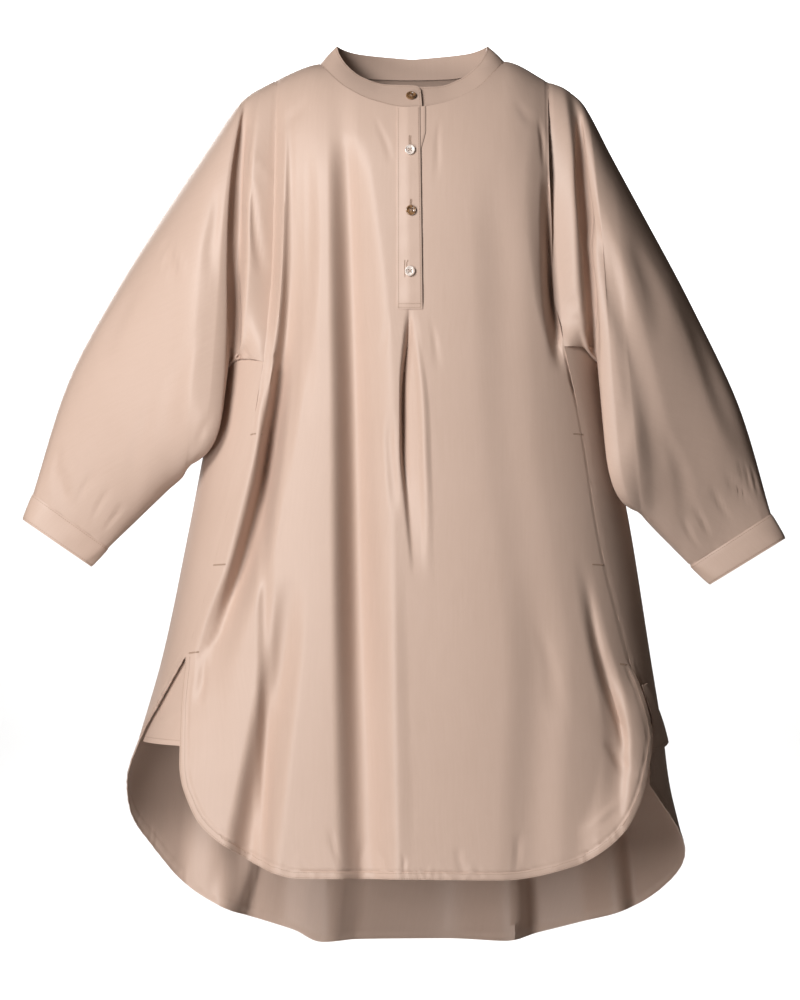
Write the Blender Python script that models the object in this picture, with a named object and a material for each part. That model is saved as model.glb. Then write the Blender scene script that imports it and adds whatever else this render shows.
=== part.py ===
"""A mandarin collar dress, hollow, hanging as it is worn.

Every piece is a wall of cloth: a grid of points on the garment's outer face, and the same grid moved in by
the wall's thickness. The front faces -Y, +X is the viewer's right and +Z is up. The origin is at the middle
of the base of the neck. The tables are in millimetres. "drop" is how far a point lies below the origin.
"""

from collections import namedtuple

import bmesh
import bpy
import numpy as np

MM = 0.001

# ---------------------------------------------------------------- driving sizes, in millimetres
WALL = 1.8              # cloth of the front, back and sleeves
BAND_WALL = 2.2         # collar and cuffs, two layers of cloth
STRIP_WALL = 1.0        # each strip of the placket
SEAM_GAP = 0.3          # between two pieces that are sewn together
ROUND = 2.4             # how square the body's cross-section is, 2 being an ellipse
CROWN_DROP = 140.0      # the shoulders round over within this drop
CROWN_ROUND = 2.2
LEFT, RIGHT = -1, 1     # the viewer's left and right
SEAM_FADE = 16.0        # the front's folds flatten this close to a side seam,
SEAM_FADE_TOP, SEAM_FADE_DEPTH = 290.0, 40.0    # from this drop on, over this much of it
BACK_FADE = 0.6         # the back's folds flatten towards its sides

BUTTON_WIDTH = 12.0
BUTTON_THICK = 3.0
GUSSET_INSET = 4.6      # the left gusset lies this far inside the back's outer face
POCKET_SLOT = 1.2       # how far each pocket mouth stands open in its side seam
POCKET_TOP, POCKET_BOTTOM = 427.0, 579.0
POCKET_END = 0.6        # how soon each mouth opens from its ends

# ---------------------------------------------------------------- the body's sections and outlines
Section = namedtuple("Section", "drop left right front back")
SECTIONS = (  # the body's width to each side and depth to the front and back, a row for each height
    Section(-30, -196, 200, 76, 58),
    Section(60, -203, 207, 92, 82),
    Section(150, -211, 215, 108, 98),
    Section(342, -222, 226, 128, 118),
    Section(445, -241, 241, 133, 127),
    Section(550, -261, 260, 138, 135),
    Section(684, -289, 281, 142, 142),
    Section(785, -318, 297, 145, 148),
    Section(831, -331, 303, 146, 151),
    Section(924, -337, 323, 148, 156),
    Section(1030, -340, 332, 150, 160),
)

Mark = namedtuple("Mark", "x drop")
TOP_LINE = (  # the shoulders, seen from the front, with the neck bridged over
    Mark(-220, 64), Mark(-194, 34), Mark(-156, 12), Mark(-106, -7), Mark(0, -14),
    Mark(111, -10), Mark(161, 14), Mark(199, 36), Mark(220, 68),
)
FRONT_NECK = (
    Mark(-106, -7), Mark(-77, 20), Mark(-43, 37), Mark(0, 46), Mark(34, 41), Mark(77, 23), Mark(111, -10),
)
BACK_NECK = (Mark(-106, -7), Mark(-80, 3), Mark(-40, 9), Mark(0, 10), Mark(44, 9), Mark(84, 2), Mark(111, -10))
FRONT_HEM = (  # from the viewer's left vent, round the shirt-tail, to the right vent
    Mark(-261, 686), Mark(-267, 755), Mark(-268, 812), Mark(-250, 872), Mark(-202, 914), Mark(-130, 943),
    Mark(0, 944), Mark(108, 945), Mark(191, 929), Mark(251, 887), Mark(274, 835), Mark(282, 779),
    Mark(269, 723), Mark(259, 700),
)
FRONT_CORNERS = (0.245, 0.79)   # where along the front hem the sides end and the bottom begins

Seam = namedtuple("Seam", "drop x")
ARMHOLE_FRONT = {  # down the front of each armhole to the underarm
    LEFT: (Seam(12, -156), Seam(94, -158), Seam(222, -161), Seam(292, -166), Seam(342, -171)),
    RIGHT: (Seam(14, 161), Seam(94, 162), Seam(180, 164), Seam(260, 167), Seam(324, 180)),
}
ARMHOLE_BACK = {  # up the back of each armhole
    LEFT: (Seam(12, -156), Seam(90, -172), Seam(200, -192), Seam(290, -212), Seam(350, -222)),
    RIGHT: (Seam(14, 161), Seam(90, 176), Seam(200, 196), Seam(290, 216), Seam(340, 226)),
}
UNDERARM_RISE = 8.0           # the underarm seam arches up between the side seam and the widest point
SIDE_SEAM = {  # from the underarm to the vent
    LEFT: (Seam(342, -171), Seam(432, -187), Seam(504, -209), Seam(579, -229), Seam(620, -241), Seam(686, -261)),
    RIGHT: (Seam(324, 180), Seam(411, 199), Seam(552, 222), Seam(632, 241), Seam(700, 259)),
}

Turn = namedtuple("Turn", "angle drop")   # angle round the body from the middle of the back, 90 at its side
BACK_EDGE = {  # the back's free edge: down the vent, a row for each row of the grid, and on to the body's side
    LEFT: (Turn(-118, 686), Turn(-114.5, 706), Turn(-111, 726), Turn(-107.4, 745), Turn(-97, 785), Turn(-90, 822)),
    RIGHT: (Turn(116, 700), Turn(110.5, 733), Turn(110.5, 785), Turn(115, 836), Turn(107, 865), Turn(90, 910)),
}
BACK_HEM = (  # and from side to side
    Turn(-90, 822), Turn(-77, 868), Turn(-62, 907), Turn(-46, 959), Turn(-34, 986), Turn(-26, 998), Turn(-19, 1010),
    Turn(-13, 1024), Turn(-7, 1021), Turn(6, 1020), Turn(16, 1022), Turn(24, 1012), Turn(33, 1001), Turn(48, 984),
    Turn(68, 949), Turn(90, 910),
)

Flare = namedtuple("Flare", "top full reach lift")
VENT_FLARE = {  # the front's free edge stands forward of the back's below each vent
    LEFT: Flare(690, 790, 50, 4),
    RIGHT: Flare(696, 760, 60, 20),
}

# ---------------------------------------------------------------- folds
# Each fold is a trough that follows its knots. "deep" is how far the cloth goes in, "rise" is the width of the
# wall on the viewer's left of its lowest line, and "run" is the width on the right. A ridge has a deep below 0.
Knot = namedtuple("Knot", "drop x deep rise run")
FRONT_FOLDS = {
    "armhole edge, left": (Knot(20, -157, 2, 10, 12), Knot(110, -158, 12, 10, 14), Knot(260, -163, 14, 10, 14),
                           Knot(330, -169, 4, 10, 12)),
    "left trough": (Knot(70, -131, 0, 14, 28), Knot(211, -134, 10, 15, 32), Knot(328, -145, 20, 15, 32),
                    Knot(445, -165, 24, 16, 32), Knot(562, -187, 22, 24, 32), Knot(679, -230, 9, 24, 34),
                    Knot(740, -240, 0, 24, 34)),
    "left soft trough": (Knot(30, -80, 1, 20, 18), Knot(152, -75, 5, 22, 20), Knot(386, -67, 8, 28, 24),
                         Knot(620, -59, 11, 34, 32), Knot(854, -51, 9, 38, 36), Knot(960, -47, 9, 40, 38)),
    "lower left trough": (Knot(590, -138, 0, 20, 20), Knot(679, -146, 7, 24, 24), Knot(760, -160, 11, 26, 28),
                          Knot(854, -176, 14, 30, 34), Knot(940, -190, 13, 34, 38)),
    "inverted pleat": (Knot(282, -1, 0, 4, 10), Knot(316, -4, 5, 5, 18), Knot(373, -8, 9, 5, 26),
                       Knot(440, -8, 10, 5, 28), Knot(503, -2, 6, 6, 26), Knot(590, 6, 0, 6, 20)),
    "right soft trough": (Knot(110, 96, 0, 30, 30), Knot(230, 104, 3, 34, 34), Knot(420, 112, 2, 36, 36),
                          Knot(560, 132, 2, 38, 38), Knot(700, 150, 5, 40, 40), Knot(830, 144, 5, 40, 40),
                          Knot(960, 140, 4, 42, 42)),
    "armhole edge, right": (Knot(24, 161, 2, 16, 10), Knot(152, 164, 20, 32, 10), Knot(260, 169, 24, 26, 10),
                            Knot(320, 179, 12, 22, 10)),
    "lower right valley": (Knot(570, 199, 0, 12, 12), Knot(660, 216, 4, 14, 14), Knot(740, 238, 8, 20, 16),
                           Knot(800, 248, 8, 26, 20), Knot(880, 240, 3, 26, 20)),
}
BACK_FOLDS = {
    "left hem wave": (Knot(600, -190, 0, 44, 36), Knot(800, -215, 12, 48, 34), Knot(1000, -228, 24, 50, 32)),
    "second hem wave": (Knot(330, -84, 0, 34, 30), Knot(620, -94, 7, 44, 32), Knot(1030, -106, 15, 52, 32)),
    "middle hem wave": (Knot(180, 58, 0, 40, 36), Knot(560, 86, 8, 60, 34), Knot(830, 112, 16, 80, 30),
                        Knot(1030, 122, 25, 90, 28)),
    "right hem wave": (Knot(560, 190, 0, 30, 30), Knot(800, 222, 9, 32, 32), Knot(1000, 236, 17, 32, 34)),
    "shoulder blade trough, left": (Knot(60, -96, 0, 20, 20), Knot(190, -110, 9, 26, 24), Knot(400, -126, 7, 30, 28),
                                    Knot(640, -140, 0, 30, 30)),
    "shoulder blade trough, right": (Knot(70, 108, 0, 20, 20), Knot(220, 124, 10, 24, 26),
                                     Knot(430, 140, 7, 28, 30), Knot(620, 150, 0, 30, 30)),
}

# ---------------------------------------------------------------- sleeves
# A row for each ring. "top" is on the upper outline, "low" on the underarm seam, "front" and "back" are the
# depths of the two layers, "full" is how far down the front layer is deepest, and "lap" is how far it hangs
# over towards the body.
Ring = namedtuple("Ring", "at top_x top_drop low_x low_drop low_y front back full lap")
SLEEVES = {
    LEFT: (
        Ring(0.000, -156, 12, -222, 350, 0, 76, 76, 0.86, 49),
        Ring(0.050, -172, 20, -232, 355, -10, 82, 56, 0.87, 32),
        Ring(0.110, -186, 28, -240, 361, -15, 66, 60, 0.89, 27),
        Ring(0.145, -196, 36, -257, 458, -40, 88, 64, 0.87, 31),
        Ring(0.180, -205, 46, -261, 464, -36, 96, 67, 0.85, 18),
        Ring(0.300, -234, 88, -264, 474, -28, 97, 77, 0.74, 4),
        Ring(0.450, -282, 160, -283, 492, -15, 84, 71, 0.62, 0),
        Ring(0.620, -343, 257, -306, 514, -6, 65, 57, 0.55, 0),
        Ring(0.800, -400, 366, -330, 537, 0, 41, 37, 0.50, 0),
        Ring(1.000, -441, 496, -353, 559, 0, 17, 17, 0.50, 0),
    ),
    RIGHT: (
        Ring(0.000, 161, 14, 226, 340, 0, 70, 76, 0.86, -46),
        Ring(0.050, 178, 20, 236, 348, -10, 80, 56, 0.87, -30),
        Ring(0.110, 191, 29, 245, 355, -15, 64, 60, 0.89, -24),
        Ring(0.145, 201, 38, 264, 514, -45, 86, 64, 0.87, -28),
        Ring(0.180, 209, 50, 269, 518, -40, 94, 67, 0.85, -17),
        Ring(0.300, 234, 98, 274, 525, -28, 94, 77, 0.74, -4),
        Ring(0.450, 273, 170, 287, 539, -15, 82, 71, 0.62, 0),
        Ring(0.620, 330, 277, 302, 554, -6, 64, 57, 0.55, 0),
        Ring(0.800, 388, 402, 316, 568, 0, 41, 37, 0.50, 0),
        Ring(1.000, 422, 519, 328, 580, 0, 17, 17, 0.50, 0),
    ),
}
CuffEdge = namedtuple("CuffEdge", "top_x top_drop low_x low_drop")
CUFF_EDGE = {LEFT: CuffEdge(-453, 526, -373, 581), RIGHT: CuffEdge(439, 548, 351, 602)}
CUFF_PROUD = (0.0, 0.9, 0.5)    # how far its lines stand out from the sleeve
UNDER_START, UNDER_END = 0.4, 0.5    # the part of a ring that lies under the arm, from the side seam on
SLEEVE_ROUND = 2.2      # how square a sleeve's cross-section is
SLEEVE_BACK_FULL = 0.55     # how far down the back layer is deepest

# ---------------------------------------------------------------- collar, placket, buttons, gussets
Lean = namedtuple("Lean", "angle drop")   # angle round the neck from the middle of the front
COLLAR_TOP = (Lean(0, 19), Lean(20, 18), Lean(40, 10), Lean(60, -5), Lean(75, -18), Lean(90, -28),
              Lean(135, -19), Lean(180, -13))
COLLAR_TOP_WIDTH, COLLAR_TOP_FRONT, COLLAR_TOP_BACK = 88.0, 50.0, 37.0
NECK_MIDDLE = 2.5
COLLAR_UPPER_END, COLLAR_LOWER_END = 6.2, -9.0    # the upper end laps over the lower one in front
COLLAR_FROM, COLLAR_TO, COLLAR_COLUMNS = -20.0, -340.0, 31     # round the neck between the two ends
COLLAR_UNDER = (-354.8, -370.0)                   # the lower end, behind the upper one
COLLAR_BEHIND, COLLAR_BEHIND_REACH = -300.0, 45.0     # it moves behind from here on, over this much of a turn
COLLAR_END_HEIGHT = (0.80, 0.96, 1.0, 1.0)        # the upper end's corner is rounded off
COLLAR_STEPS = (0.0, 0.35, 0.7, 1.0)
COLLAR_CLEAR, COLLAR_LIFT = 0.9, 0.8              # between the two ends, and above the neckline
Edge = namedtuple("Edge", "share x")
Strip = namedtuple("Strip", "left right bottom lift")
PLACKET_OVER = Strip(-15.8, (Edge(0, 11.4), Edge(1, 14.6)), 281, 1.9)
PLACKET_UNDER = Strip(-14.0, (Edge(0, 18), Edge(0.13, 18), Edge(0.22, 12.4), Edge(1, 13)), 278, 0.5)
Button = namedtuple("Button", "x drop on_collar")
BUTTONS = (Button(1, 34, True), Button(0, 90, False), Button(1, 165, False), Button(0, 237, False))
Turned = namedtuple("Turned", "radius height")    # shares of the button's radius and thickness
BUTTON_PROFILE = (
    Turned(0, 0), Turned(0.72, 0), Turned(1, 0.35), Turned(0.94, 1), Turned(0.72, 1), Turned(0.6, 0.66),
    Turned(0, 0.66),
)
GUSSET_BOTTOM = {LEFT: (785, 790), RIGHT: (785, 797)}    # drop at the back or fold, and at the front
GussetLine = namedtuple("GussetLine", "share out")    # share of the way from the front edge to the fold
GUSSET_LINES = (  # the right gusset, across: its front layer, its fold and the layer behind
    GussetLine(-0.3, 4.8), GussetLine(0.15, 6.4), GussetLine(0.6, 6.8), GussetLine(0.93, 6.4), GussetLine(1.0, 4.4),
    GussetLine(0.93, 2.6), GussetLine(0.6, 2.2), GussetLine(0.25, 2.2),
)
GUSSET_CLEAR = 2.2          # between the right gusset and the back that it lies on
GUSSET_FOLD_ANGLE = 94.0    # where its fold reaches at the lower edge
GUSSET_TUCK = -0.1          # how far its front layer tucks behind the front's edge, near the top
GUSSET_START = {LEFT: 0.05, RIGHT: 0.2}     # where the gussets begin, as a share of the vent's length
GUSSET_THIN = 0.65          # how much of its depth the right gusset has at the top
LEFT_GUSSET_BACK, LEFT_GUSSET_FRONT = 1.5, -3.0    # degrees from the two edges of the vent

# ---------------------------------------------------------------- how finely the walls are divided
ARM_ROWS, WING_COLUMNS, BACK_ARM_ROWS = 10, 4, 11
SIDE_ROWS, VENT_ROWS, HEM_ROWS = 9, 3, 7
FRONT_ARM_SHARE, FRONT_VENT_SHARE, BACK_ARM_SHARE, BACK_VENT_SHARE = 0.36, 0.72, 0.4, 0.84
Zone = namedtuple("Zone", "end count")
SHOULDER_SHARE = 0.14    # of a panel's top edge, from the armhole to the neck
SHOULDER_COLUMNS = 6
FRONT_COLUMNS = (Zone(SHOULDER_SHARE, SHOULDER_COLUMNS), Zone(0.2, 2), Zone(0.44, 8), Zone(0.56, 9),
                 Zone(1 - SHOULDER_SHARE, 6), Zone(1.0, SHOULDER_COLUMNS))
BACK_COLUMNS = (Zone(SHOULDER_SHARE, SHOULDER_COLUMNS), Zone(1 - SHOULDER_SHARE, 24), Zone(1.0, SHOULDER_COLUMNS))
SLEEVE_STEPS = (0.0, 0.03, 0.06, 0.085, 0.11, 0.1275, 0.145, 0.162, 0.18, 0.22, 0.27, 0.33, 0.41,
                0.5, 0.6, 0.7, 0.8, 0.9, 1.0)
BUTTON_SIDES = 16
GUSSET_ROWS, GUSSET_COLUMNS = 9, 7
STRIP_ROWS, STRIP_COLUMNS = 16, 4
ALL = slice(None)
SLOPE_STEP = 1.0         # how far apart a surface is read to find which way it faces

Finish = namedtuple("Finish", "colour roughness metallic")
FINISHES = {
    "sateen": Finish((0.60, 0.43, 0.34), 0.55, 0.0),
    "button_shell": Finish((0.72, 0.66, 0.60), 0.30, 0.0),
    "button_tortoise": Finish((0.20, 0.11, 0.05), 0.28, 0.0),
}


# ---------------------------------------------------------------- reading the tables
def smooth(xs, ys, x):
    """A curve through the points (xs, ys) that never overshoots them, read at x."""
    xs, ys, x = np.asarray(xs, float), np.asarray(ys, float), np.asarray(x, float)
    rise = np.diff(ys) / np.diff(xs)
    slope = np.zeros(len(xs))
    slope[0], slope[-1] = rise[0], rise[-1]
    same = rise[:-1] * rise[1:] > 0
    both = rise[:-1] + rise[1:]
    slope[1:-1] = np.where(same, 2 * rise[:-1] * rise[1:] / np.where(same, both, 1), 0)
    k = np.clip(np.searchsorted(xs, x) - 1, 0, len(xs) - 2)
    h = xs[k + 1] - xs[k]
    t = np.clip((x - xs[k]) / h, 0, 1)
    return (ys[k] * (1 + 2 * t) * (1 - t) ** 2 + ys[k + 1] * t * t * (3 - 2 * t)
            + slope[k] * h * t * (1 - t) ** 2 - slope[k + 1] * h * t * t * (1 - t))


def column(rows, across, name, x):
    """One named column of a table, read smoothly at x in the column called across."""
    return smooth([getattr(r, across) for r in rows], [getattr(r, name) for r in rows], x)


def along(points, t):
    """Places at the shares t of the length of a curve through the points."""
    points = np.asarray(points, float)
    reach = np.concatenate(([0], np.cumsum(np.linalg.norm(np.diff(points, axis=0), axis=1))))
    reach /= reach[-1]
    return np.stack([smooth(reach, points[:, k], t) for k in range(points.shape[1])], -1)


def ease(t):
    """0 to 1, slow at both ends."""
    t = np.clip(t, 0, 1)
    return t * t * (3 - 2 * t)


def unit(vectors):
    return vectors / np.linalg.norm(vectors, axis=-1, keepdims=True)


def shares(zones):
    """Places from 0 to 1, evenly spaced inside each zone."""
    places, start = [0.0], 0.0
    for zone in zones:
        places += list(np.linspace(start, zone.end, zone.count + 1)[1:])
        start = zone.end
    return np.array(places)


# ---------------------------------------------------------------- the body's surface
def crown(x, drop):
    """How far the cloth has rounded over from the shoulder line, from 0 on the line to 1 below it."""
    below = np.clip((drop - column(TOP_LINE, "x", "drop", x)) / CROWN_DROP, 0, 1)
    return (1 - (1 - below) ** CROWN_ROUND) ** (1 / CROWN_ROUND)


def half_width(drop):
    left, right = (column(SECTIONS, "drop", side, drop) for side in ("left", "right"))
    return (right - left) / 2, (right + left) / 2


def trough(knots, x, drop):
    """How far one fold goes in at each point."""
    rows = {name: column(knots, "drop", name, drop) for name in ("x", "deep", "rise", "run")}
    off = x - rows["x"]
    width = np.where(off < 0, rows["rise"], rows["run"])
    inside = np.clip(np.abs(off) / width, 0, 1)
    return rows["deep"] * 0.5 * (1 + np.cos(np.pi * inside))


def near_side_seam(x, drop):
    """1 on the front, falling to 0 at the side seams and the vents, where both panels share the surface."""
    left = x - column(SIDE_SEAM[LEFT], "drop", "x", drop)
    right = column(SIDE_SEAM[RIGHT], "drop", "x", drop) - x
    fade = ease(np.minimum(left, right) / SEAM_FADE)
    below = ease((drop - SEAM_FADE_TOP) / SEAM_FADE_DEPTH)
    return 1 - below * (1 - fade)


def front_point(x, drop):
    """The outer face of the body's front."""
    half, middle = half_width(drop)
    q = np.clip(np.abs(x - middle) / half, 0, 1)
    depth = column(SECTIONS, "drop", "front", drop) * (1 - q ** ROUND) ** (1 / ROUND)
    folds = sum(trough(knots, x, drop) for knots in FRONT_FOLDS.values())
    y = -(depth - folds * near_side_seam(x, drop)) * crown(x, drop)
    return np.stack([x, y, -drop], -1)


def round_angle(x, drop, front):
    """The angle round the body of a point at x, on the front or on the back."""
    half, middle = half_width(drop)
    q = np.clip(np.abs(x - middle) / half, 0, 1)
    angle = np.degrees(np.arcsin(q ** (ROUND / 2)))
    return np.sign(x - middle) * np.where(front, 180 - angle, angle)


def body_point(angle, drop):
    """The outer face of the body, all round: angle 0 is the middle of the back."""
    half, middle = half_width(drop)
    turn = np.radians(angle)
    x = middle + half * np.sign(turn) * np.abs(np.sin(turn)) ** (2 / ROUND)
    facing = np.cos(turn)
    depth = column(SECTIONS, "drop", "back", drop) * np.abs(facing) ** (2 / ROUND)
    folds = sum(trough(knots, x, drop) for knots in BACK_FOLDS.values())
    back = np.stack([x, (depth - folds * ease(facing / BACK_FADE)) * crown(x, drop), -drop], -1)
    return np.where((facing < 0)[..., None], front_point(x, drop), back)


def ring_share(v):
    """How far down the ring a place v lies: 0 at the top, 1 at the underarm."""
    return (1 - np.cos(2 * np.pi * v)) / 2


def armhole(side, v):
    """Angle and drop of the armhole seam: v runs from the shoulder down the front, under the arm and up the back."""
    v = np.asarray(v, float)
    front, back = ARMHOLE_FRONT[side], ARMHOLE_BACK[side]
    front_drop = front[0].drop + (front[-1].drop - front[0].drop) * ring_share(v) / ring_share(UNDER_START)
    front_drop = np.clip(front_drop, front[0].drop, front[-1].drop)
    front_angle = round_angle(column(front, "drop", "x", front_drop), front_drop, True)
    back_drop = back[0].drop + (back[-1].drop - back[0].drop) * ring_share(v)
    back_angle = round_angle(column(back, "drop", "x", back_drop), back_drop, False)
    under = np.clip((v - UNDER_START) / (UNDER_END - UNDER_START), 0, 1)
    corner = round_angle(np.array(front[-1].x), np.array(front[-1].drop), True)
    under_angle = corner + (side * 90 - corner) * under
    under_drop = (front[-1].drop + (back[-1].drop - front[-1].drop) * under
                  - UNDERARM_RISE * np.sin(np.pi * under))
    parts = [v <= UNDER_START, v <= UNDER_END]
    angle = np.select(parts, [front_angle, under_angle], back_angle)
    drop = np.select(parts, [front_drop, under_drop], back_drop)
    return angle, drop


def armhole_point(side, v):
    return body_point(*armhole(side, v))


def facing(point_at, across, drop):
    """The unit normals of a surface, from its slopes at each point."""
    sideways = point_at(across + SLOPE_STEP, drop) - point_at(across - SLOPE_STEP, drop)
    down = point_at(across, drop + SLOPE_STEP) - point_at(across, drop - SLOPE_STEP)
    return unit(np.cross(down, sideways))


# ---------------------------------------------------------------- the panels' grids
def spanned(top, bottom, left, right, s, t, hold):
    """A grid between four edges that meet at their corners: rows follow t and columns follow s.
    A side's own shape carries into the grid to the power hold: 1 is all across, and more stays near the edge."""
    s, t = s[None, :, None], t[:, None, None]
    base = (1 - t) * top[None] + t * bottom[None]
    return (base + (1 - s) ** hold * (left[:, None] - base[:, :1])
            + s ** hold * (right[:, None] - base[:, -1:]))


def rows_by_drop(drop, share):
    """Shares for rows that keep the spacing of the points on an edge, up to the share its last point takes."""
    return share * (drop - drop[0]) / (drop[-1] - drop[0])


def top_edge(neck, s):
    """The top edge of a panel as x and drop: shoulder, neckline, shoulder."""
    shoulder = [TOP_LINE[2], TOP_LINE[3], TOP_LINE[5], TOP_LINE[6]]
    x = np.interp(s, [0, SHOULDER_SHARE, 1 - SHOULDER_SHARE, 1], [m.x for m in shoulder])
    on_neck = (s > SHOULDER_SHARE) & (s < 1 - SHOULDER_SHARE)
    drop = np.where(on_neck, column(neck, "x", "drop", x), column(TOP_LINE, "x", "drop", x))
    return np.stack([x, drop], -1)


def vent_edge(side):
    """The front's free edge from the vent to where the bottom begins, as x by drop."""
    end = FRONT_CORNERS[0] if side == LEFT else FRONT_CORNERS[1]
    edge = along(FRONT_HEM, np.linspace(0 if side == LEFT else 1, end, 30))
    return edge[:, 1], edge[:, 0]


def vent_flare(x, drop):
    """How far the front stands forward near its free edges."""
    lift = 0
    for side, flare in VENT_FLARE.items():
        inside = (np.interp(drop, *vent_edge(side)) - x) * side
        down = ease((drop - flare.top) / (flare.full - flare.top))
        lift = lift + flare.lift * down * ease(1 - inside / flare.reach)
    return lift


def flared_front(x, drop):
    """The outer face of the front panel."""
    points = front_point(x, drop)
    points[..., 1] -= vent_flare(x, drop)
    return points


def seam_rows(side):
    """Drop and x of the side seam's points, from the underarm to the vent."""
    seam = SIDE_SEAM[side]
    drop = np.linspace(seam[0].drop, seam[-1].drop, SIDE_ROWS + 1)
    return drop, column(seam, "drop", "x", drop)


def front_grid():
    """The front's outer points and the way they face. The grid is laid out in x and drop."""
    arm = np.linspace(0, UNDER_START, ARM_ROWS + 1)
    hem = np.linspace(0, 1, HEM_ROWS + 1)[1:]
    low, high = FRONT_CORNERS
    edges = {}
    for side, hem_shares in ((LEFT, hem * low), (RIGHT, 1 - hem * (1 - high))):
        arm_drop = armhole(side, arm)[1]
        arm_x = column(ARMHOLE_FRONT[side], "drop", "x", arm_drop)
        seam_drop, seam_x = seam_rows(side)
        edges[side] = np.concatenate([np.stack([arm_x, arm_drop], -1), np.stack([seam_x, seam_drop], -1)[1:],
                                      along(FRONT_HEM, hem_shares)])
    t = np.concatenate([rows_by_drop(arm_drop, FRONT_ARM_SHARE),
                        np.linspace(FRONT_ARM_SHARE, FRONT_VENT_SHARE, SIDE_ROWS + 1)[1:],
                        np.linspace(FRONT_VENT_SHARE, 1, HEM_ROWS + 1)[1:]])
    s = shares(FRONT_COLUMNS)
    bottom = along(FRONT_HEM, low + (high - low) * s)
    flat = spanned(top_edge(FRONT_NECK, s), bottom, edges[LEFT], edges[RIGHT], s, t, 1)
    return flared_front(flat[..., 0], flat[..., 1]), facing(flared_front, flat[..., 0], flat[..., 1])


def back_grid():
    """The back's outer points and the way they face. The grid is laid out in angle round the body and drop.
    Beyond the body's sides it has wings, which reach round to the side seams and start at the underarm."""
    arm = np.linspace(1, UNDER_END, BACK_ARM_ROWS + 1)
    low_t = np.concatenate([np.linspace(BACK_ARM_SHARE, BACK_VENT_SHARE, SIDE_ROWS + 1),
                            np.linspace(BACK_VENT_SHARE, 1, VENT_ROWS + 1)[1:]])
    wing_t = (low_t - BACK_ARM_SHARE) / (1 - BACK_ARM_SHARE)
    across = np.linspace(0, 1, WING_COLUMNS + 1)
    edges, wings = {}, {}
    for side in (LEFT, RIGHT):
        top = np.stack(armhole(side, UNDER_START + (UNDER_END - UNDER_START) * across), -1)
        seam_drop, seam_x = seam_rows(side)
        seam = np.stack([round_angle(seam_x, seam_drop, True), seam_drop], -1)
        free = np.array(BACK_EDGE[side][1:VENT_ROWS + 1])
        hem = along(BACK_EDGE[side][VENT_ROWS:], across)
        below = top[-1, 1] + (hem[-1, 1] - top[-1, 1]) * wing_t
        low_edge = np.stack([np.full_like(below, side * 90.0), below], -1)
        wings[side] = spanned(top, hem, np.concatenate([seam, free]), low_edge, across, wing_t, 1)
        edges[side] = np.concatenate([np.stack(armhole(side, arm), -1), low_edge[1:]])
    t = np.concatenate([rows_by_drop(edges[LEFT][:BACK_ARM_ROWS + 1, 1], BACK_ARM_SHARE), low_t[1:]])
    s = shares(BACK_COLUMNS)
    top = top_edge(BACK_NECK, s)
    top = np.stack([round_angle(top[:, 0], top[:, 1], False), top[:, 1]], -1)
    bottom = along(BACK_HEM, np.linspace(0, 1, len(s)))
    middle = spanned(top, bottom, edges[LEFT], edges[RIGHT], np.linspace(0, 1, len(s)), t, 2)
    empty = np.full((BACK_ARM_ROWS, WING_COLUMNS, 2), np.nan)
    left = np.concatenate([empty, wings[LEFT][:, :-1]])
    right = np.concatenate([empty, wings[RIGHT][:, -2::-1]])
    flat = np.concatenate([left, middle, right], axis=1)
    return body_point(flat[..., 0], flat[..., 1]), -facing(body_point, flat[..., 0], flat[..., 1])


# ---------------------------------------------------------------- sleeves and cuffs
def bulge(c, full):
    """0 at both ends of the ring's chord and 1 at the share full."""
    off = np.where(c < full, (full - c) / full, (c - full) / (1 - full))
    return (1 - np.clip(off, 0, 1) ** SLEEVE_ROUND) ** (1 / SLEEVE_ROUND)


def sleeve_ring(side, u, v):
    """A point of the sleeve's own ring, before its first rings are drawn to the armhole."""
    row = {name: column(SLEEVES[side], "at", name, u) for name in Ring._fields[1:]}
    c = ring_share(v)
    front = v <= UNDER_END
    share = np.where(front, bulge(c, row["full"]), bulge(c, SLEEVE_BACK_FULL))
    over = np.sin(np.pi * c / 2) ** 2 * np.where(c > row["full"], share, 1) * front
    x = row["top_x"] + (row["low_x"] - row["top_x"]) * c + row["lap"] * over
    z = -(row["top_drop"] + (row["low_drop"] - row["top_drop"]) * c)
    y = (1 - share) * row["low_y"] * c + share * np.where(front, -row["front"], row["back"])
    return np.stack([x, y, z], -1)


def sleeve_point(side, u, v):
    """The sleeve's outer face: u from the armhole to the cuff, v round it from the top down the front."""
    first = sleeve_ring(side, np.zeros_like(u), v)
    pull = 1 - ease(u / SLEEVES[side][1].at)
    return sleeve_ring(side, u, v) + pull[..., None] * (armhole_point(side, v) - first)


def ring_places():
    return np.concatenate([np.linspace(0, UNDER_START, ARM_ROWS + 1),
                           np.linspace(UNDER_START, UNDER_END, WING_COLUMNS + 1)[1:],
                           np.linspace(UNDER_END, 1, BACK_ARM_ROWS + 1)[1:-1]])


def sleeve_grid(side):
    u, v = np.meshgrid(SLEEVE_STEPS, ring_places(), indexing="ij")
    return sleeve_point(side, u, v)


def cuff_grid(side):
    """The cuff continues the sleeve's last ring to a plain edge, a little larger than the sleeve."""
    v = ring_places()
    start = sleeve_point(side, np.ones_like(v), v)
    last, edge = SLEEVES[side][-1], CUFF_EDGE[side]
    c = ring_share(v)
    shift_x = (edge.top_x - last.top_x) * (1 - c) + (edge.low_x - last.low_x) * c
    shift_z = -((edge.top_drop - last.top_drop) * (1 - c) + (edge.low_drop - last.low_drop) * c)
    end = start + np.stack([shift_x, np.zeros_like(v), shift_z], -1)
    steps = np.array([0, 0.5, 1])[:, None, None]
    return start[None] * (1 - steps) + end[None] * steps


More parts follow.
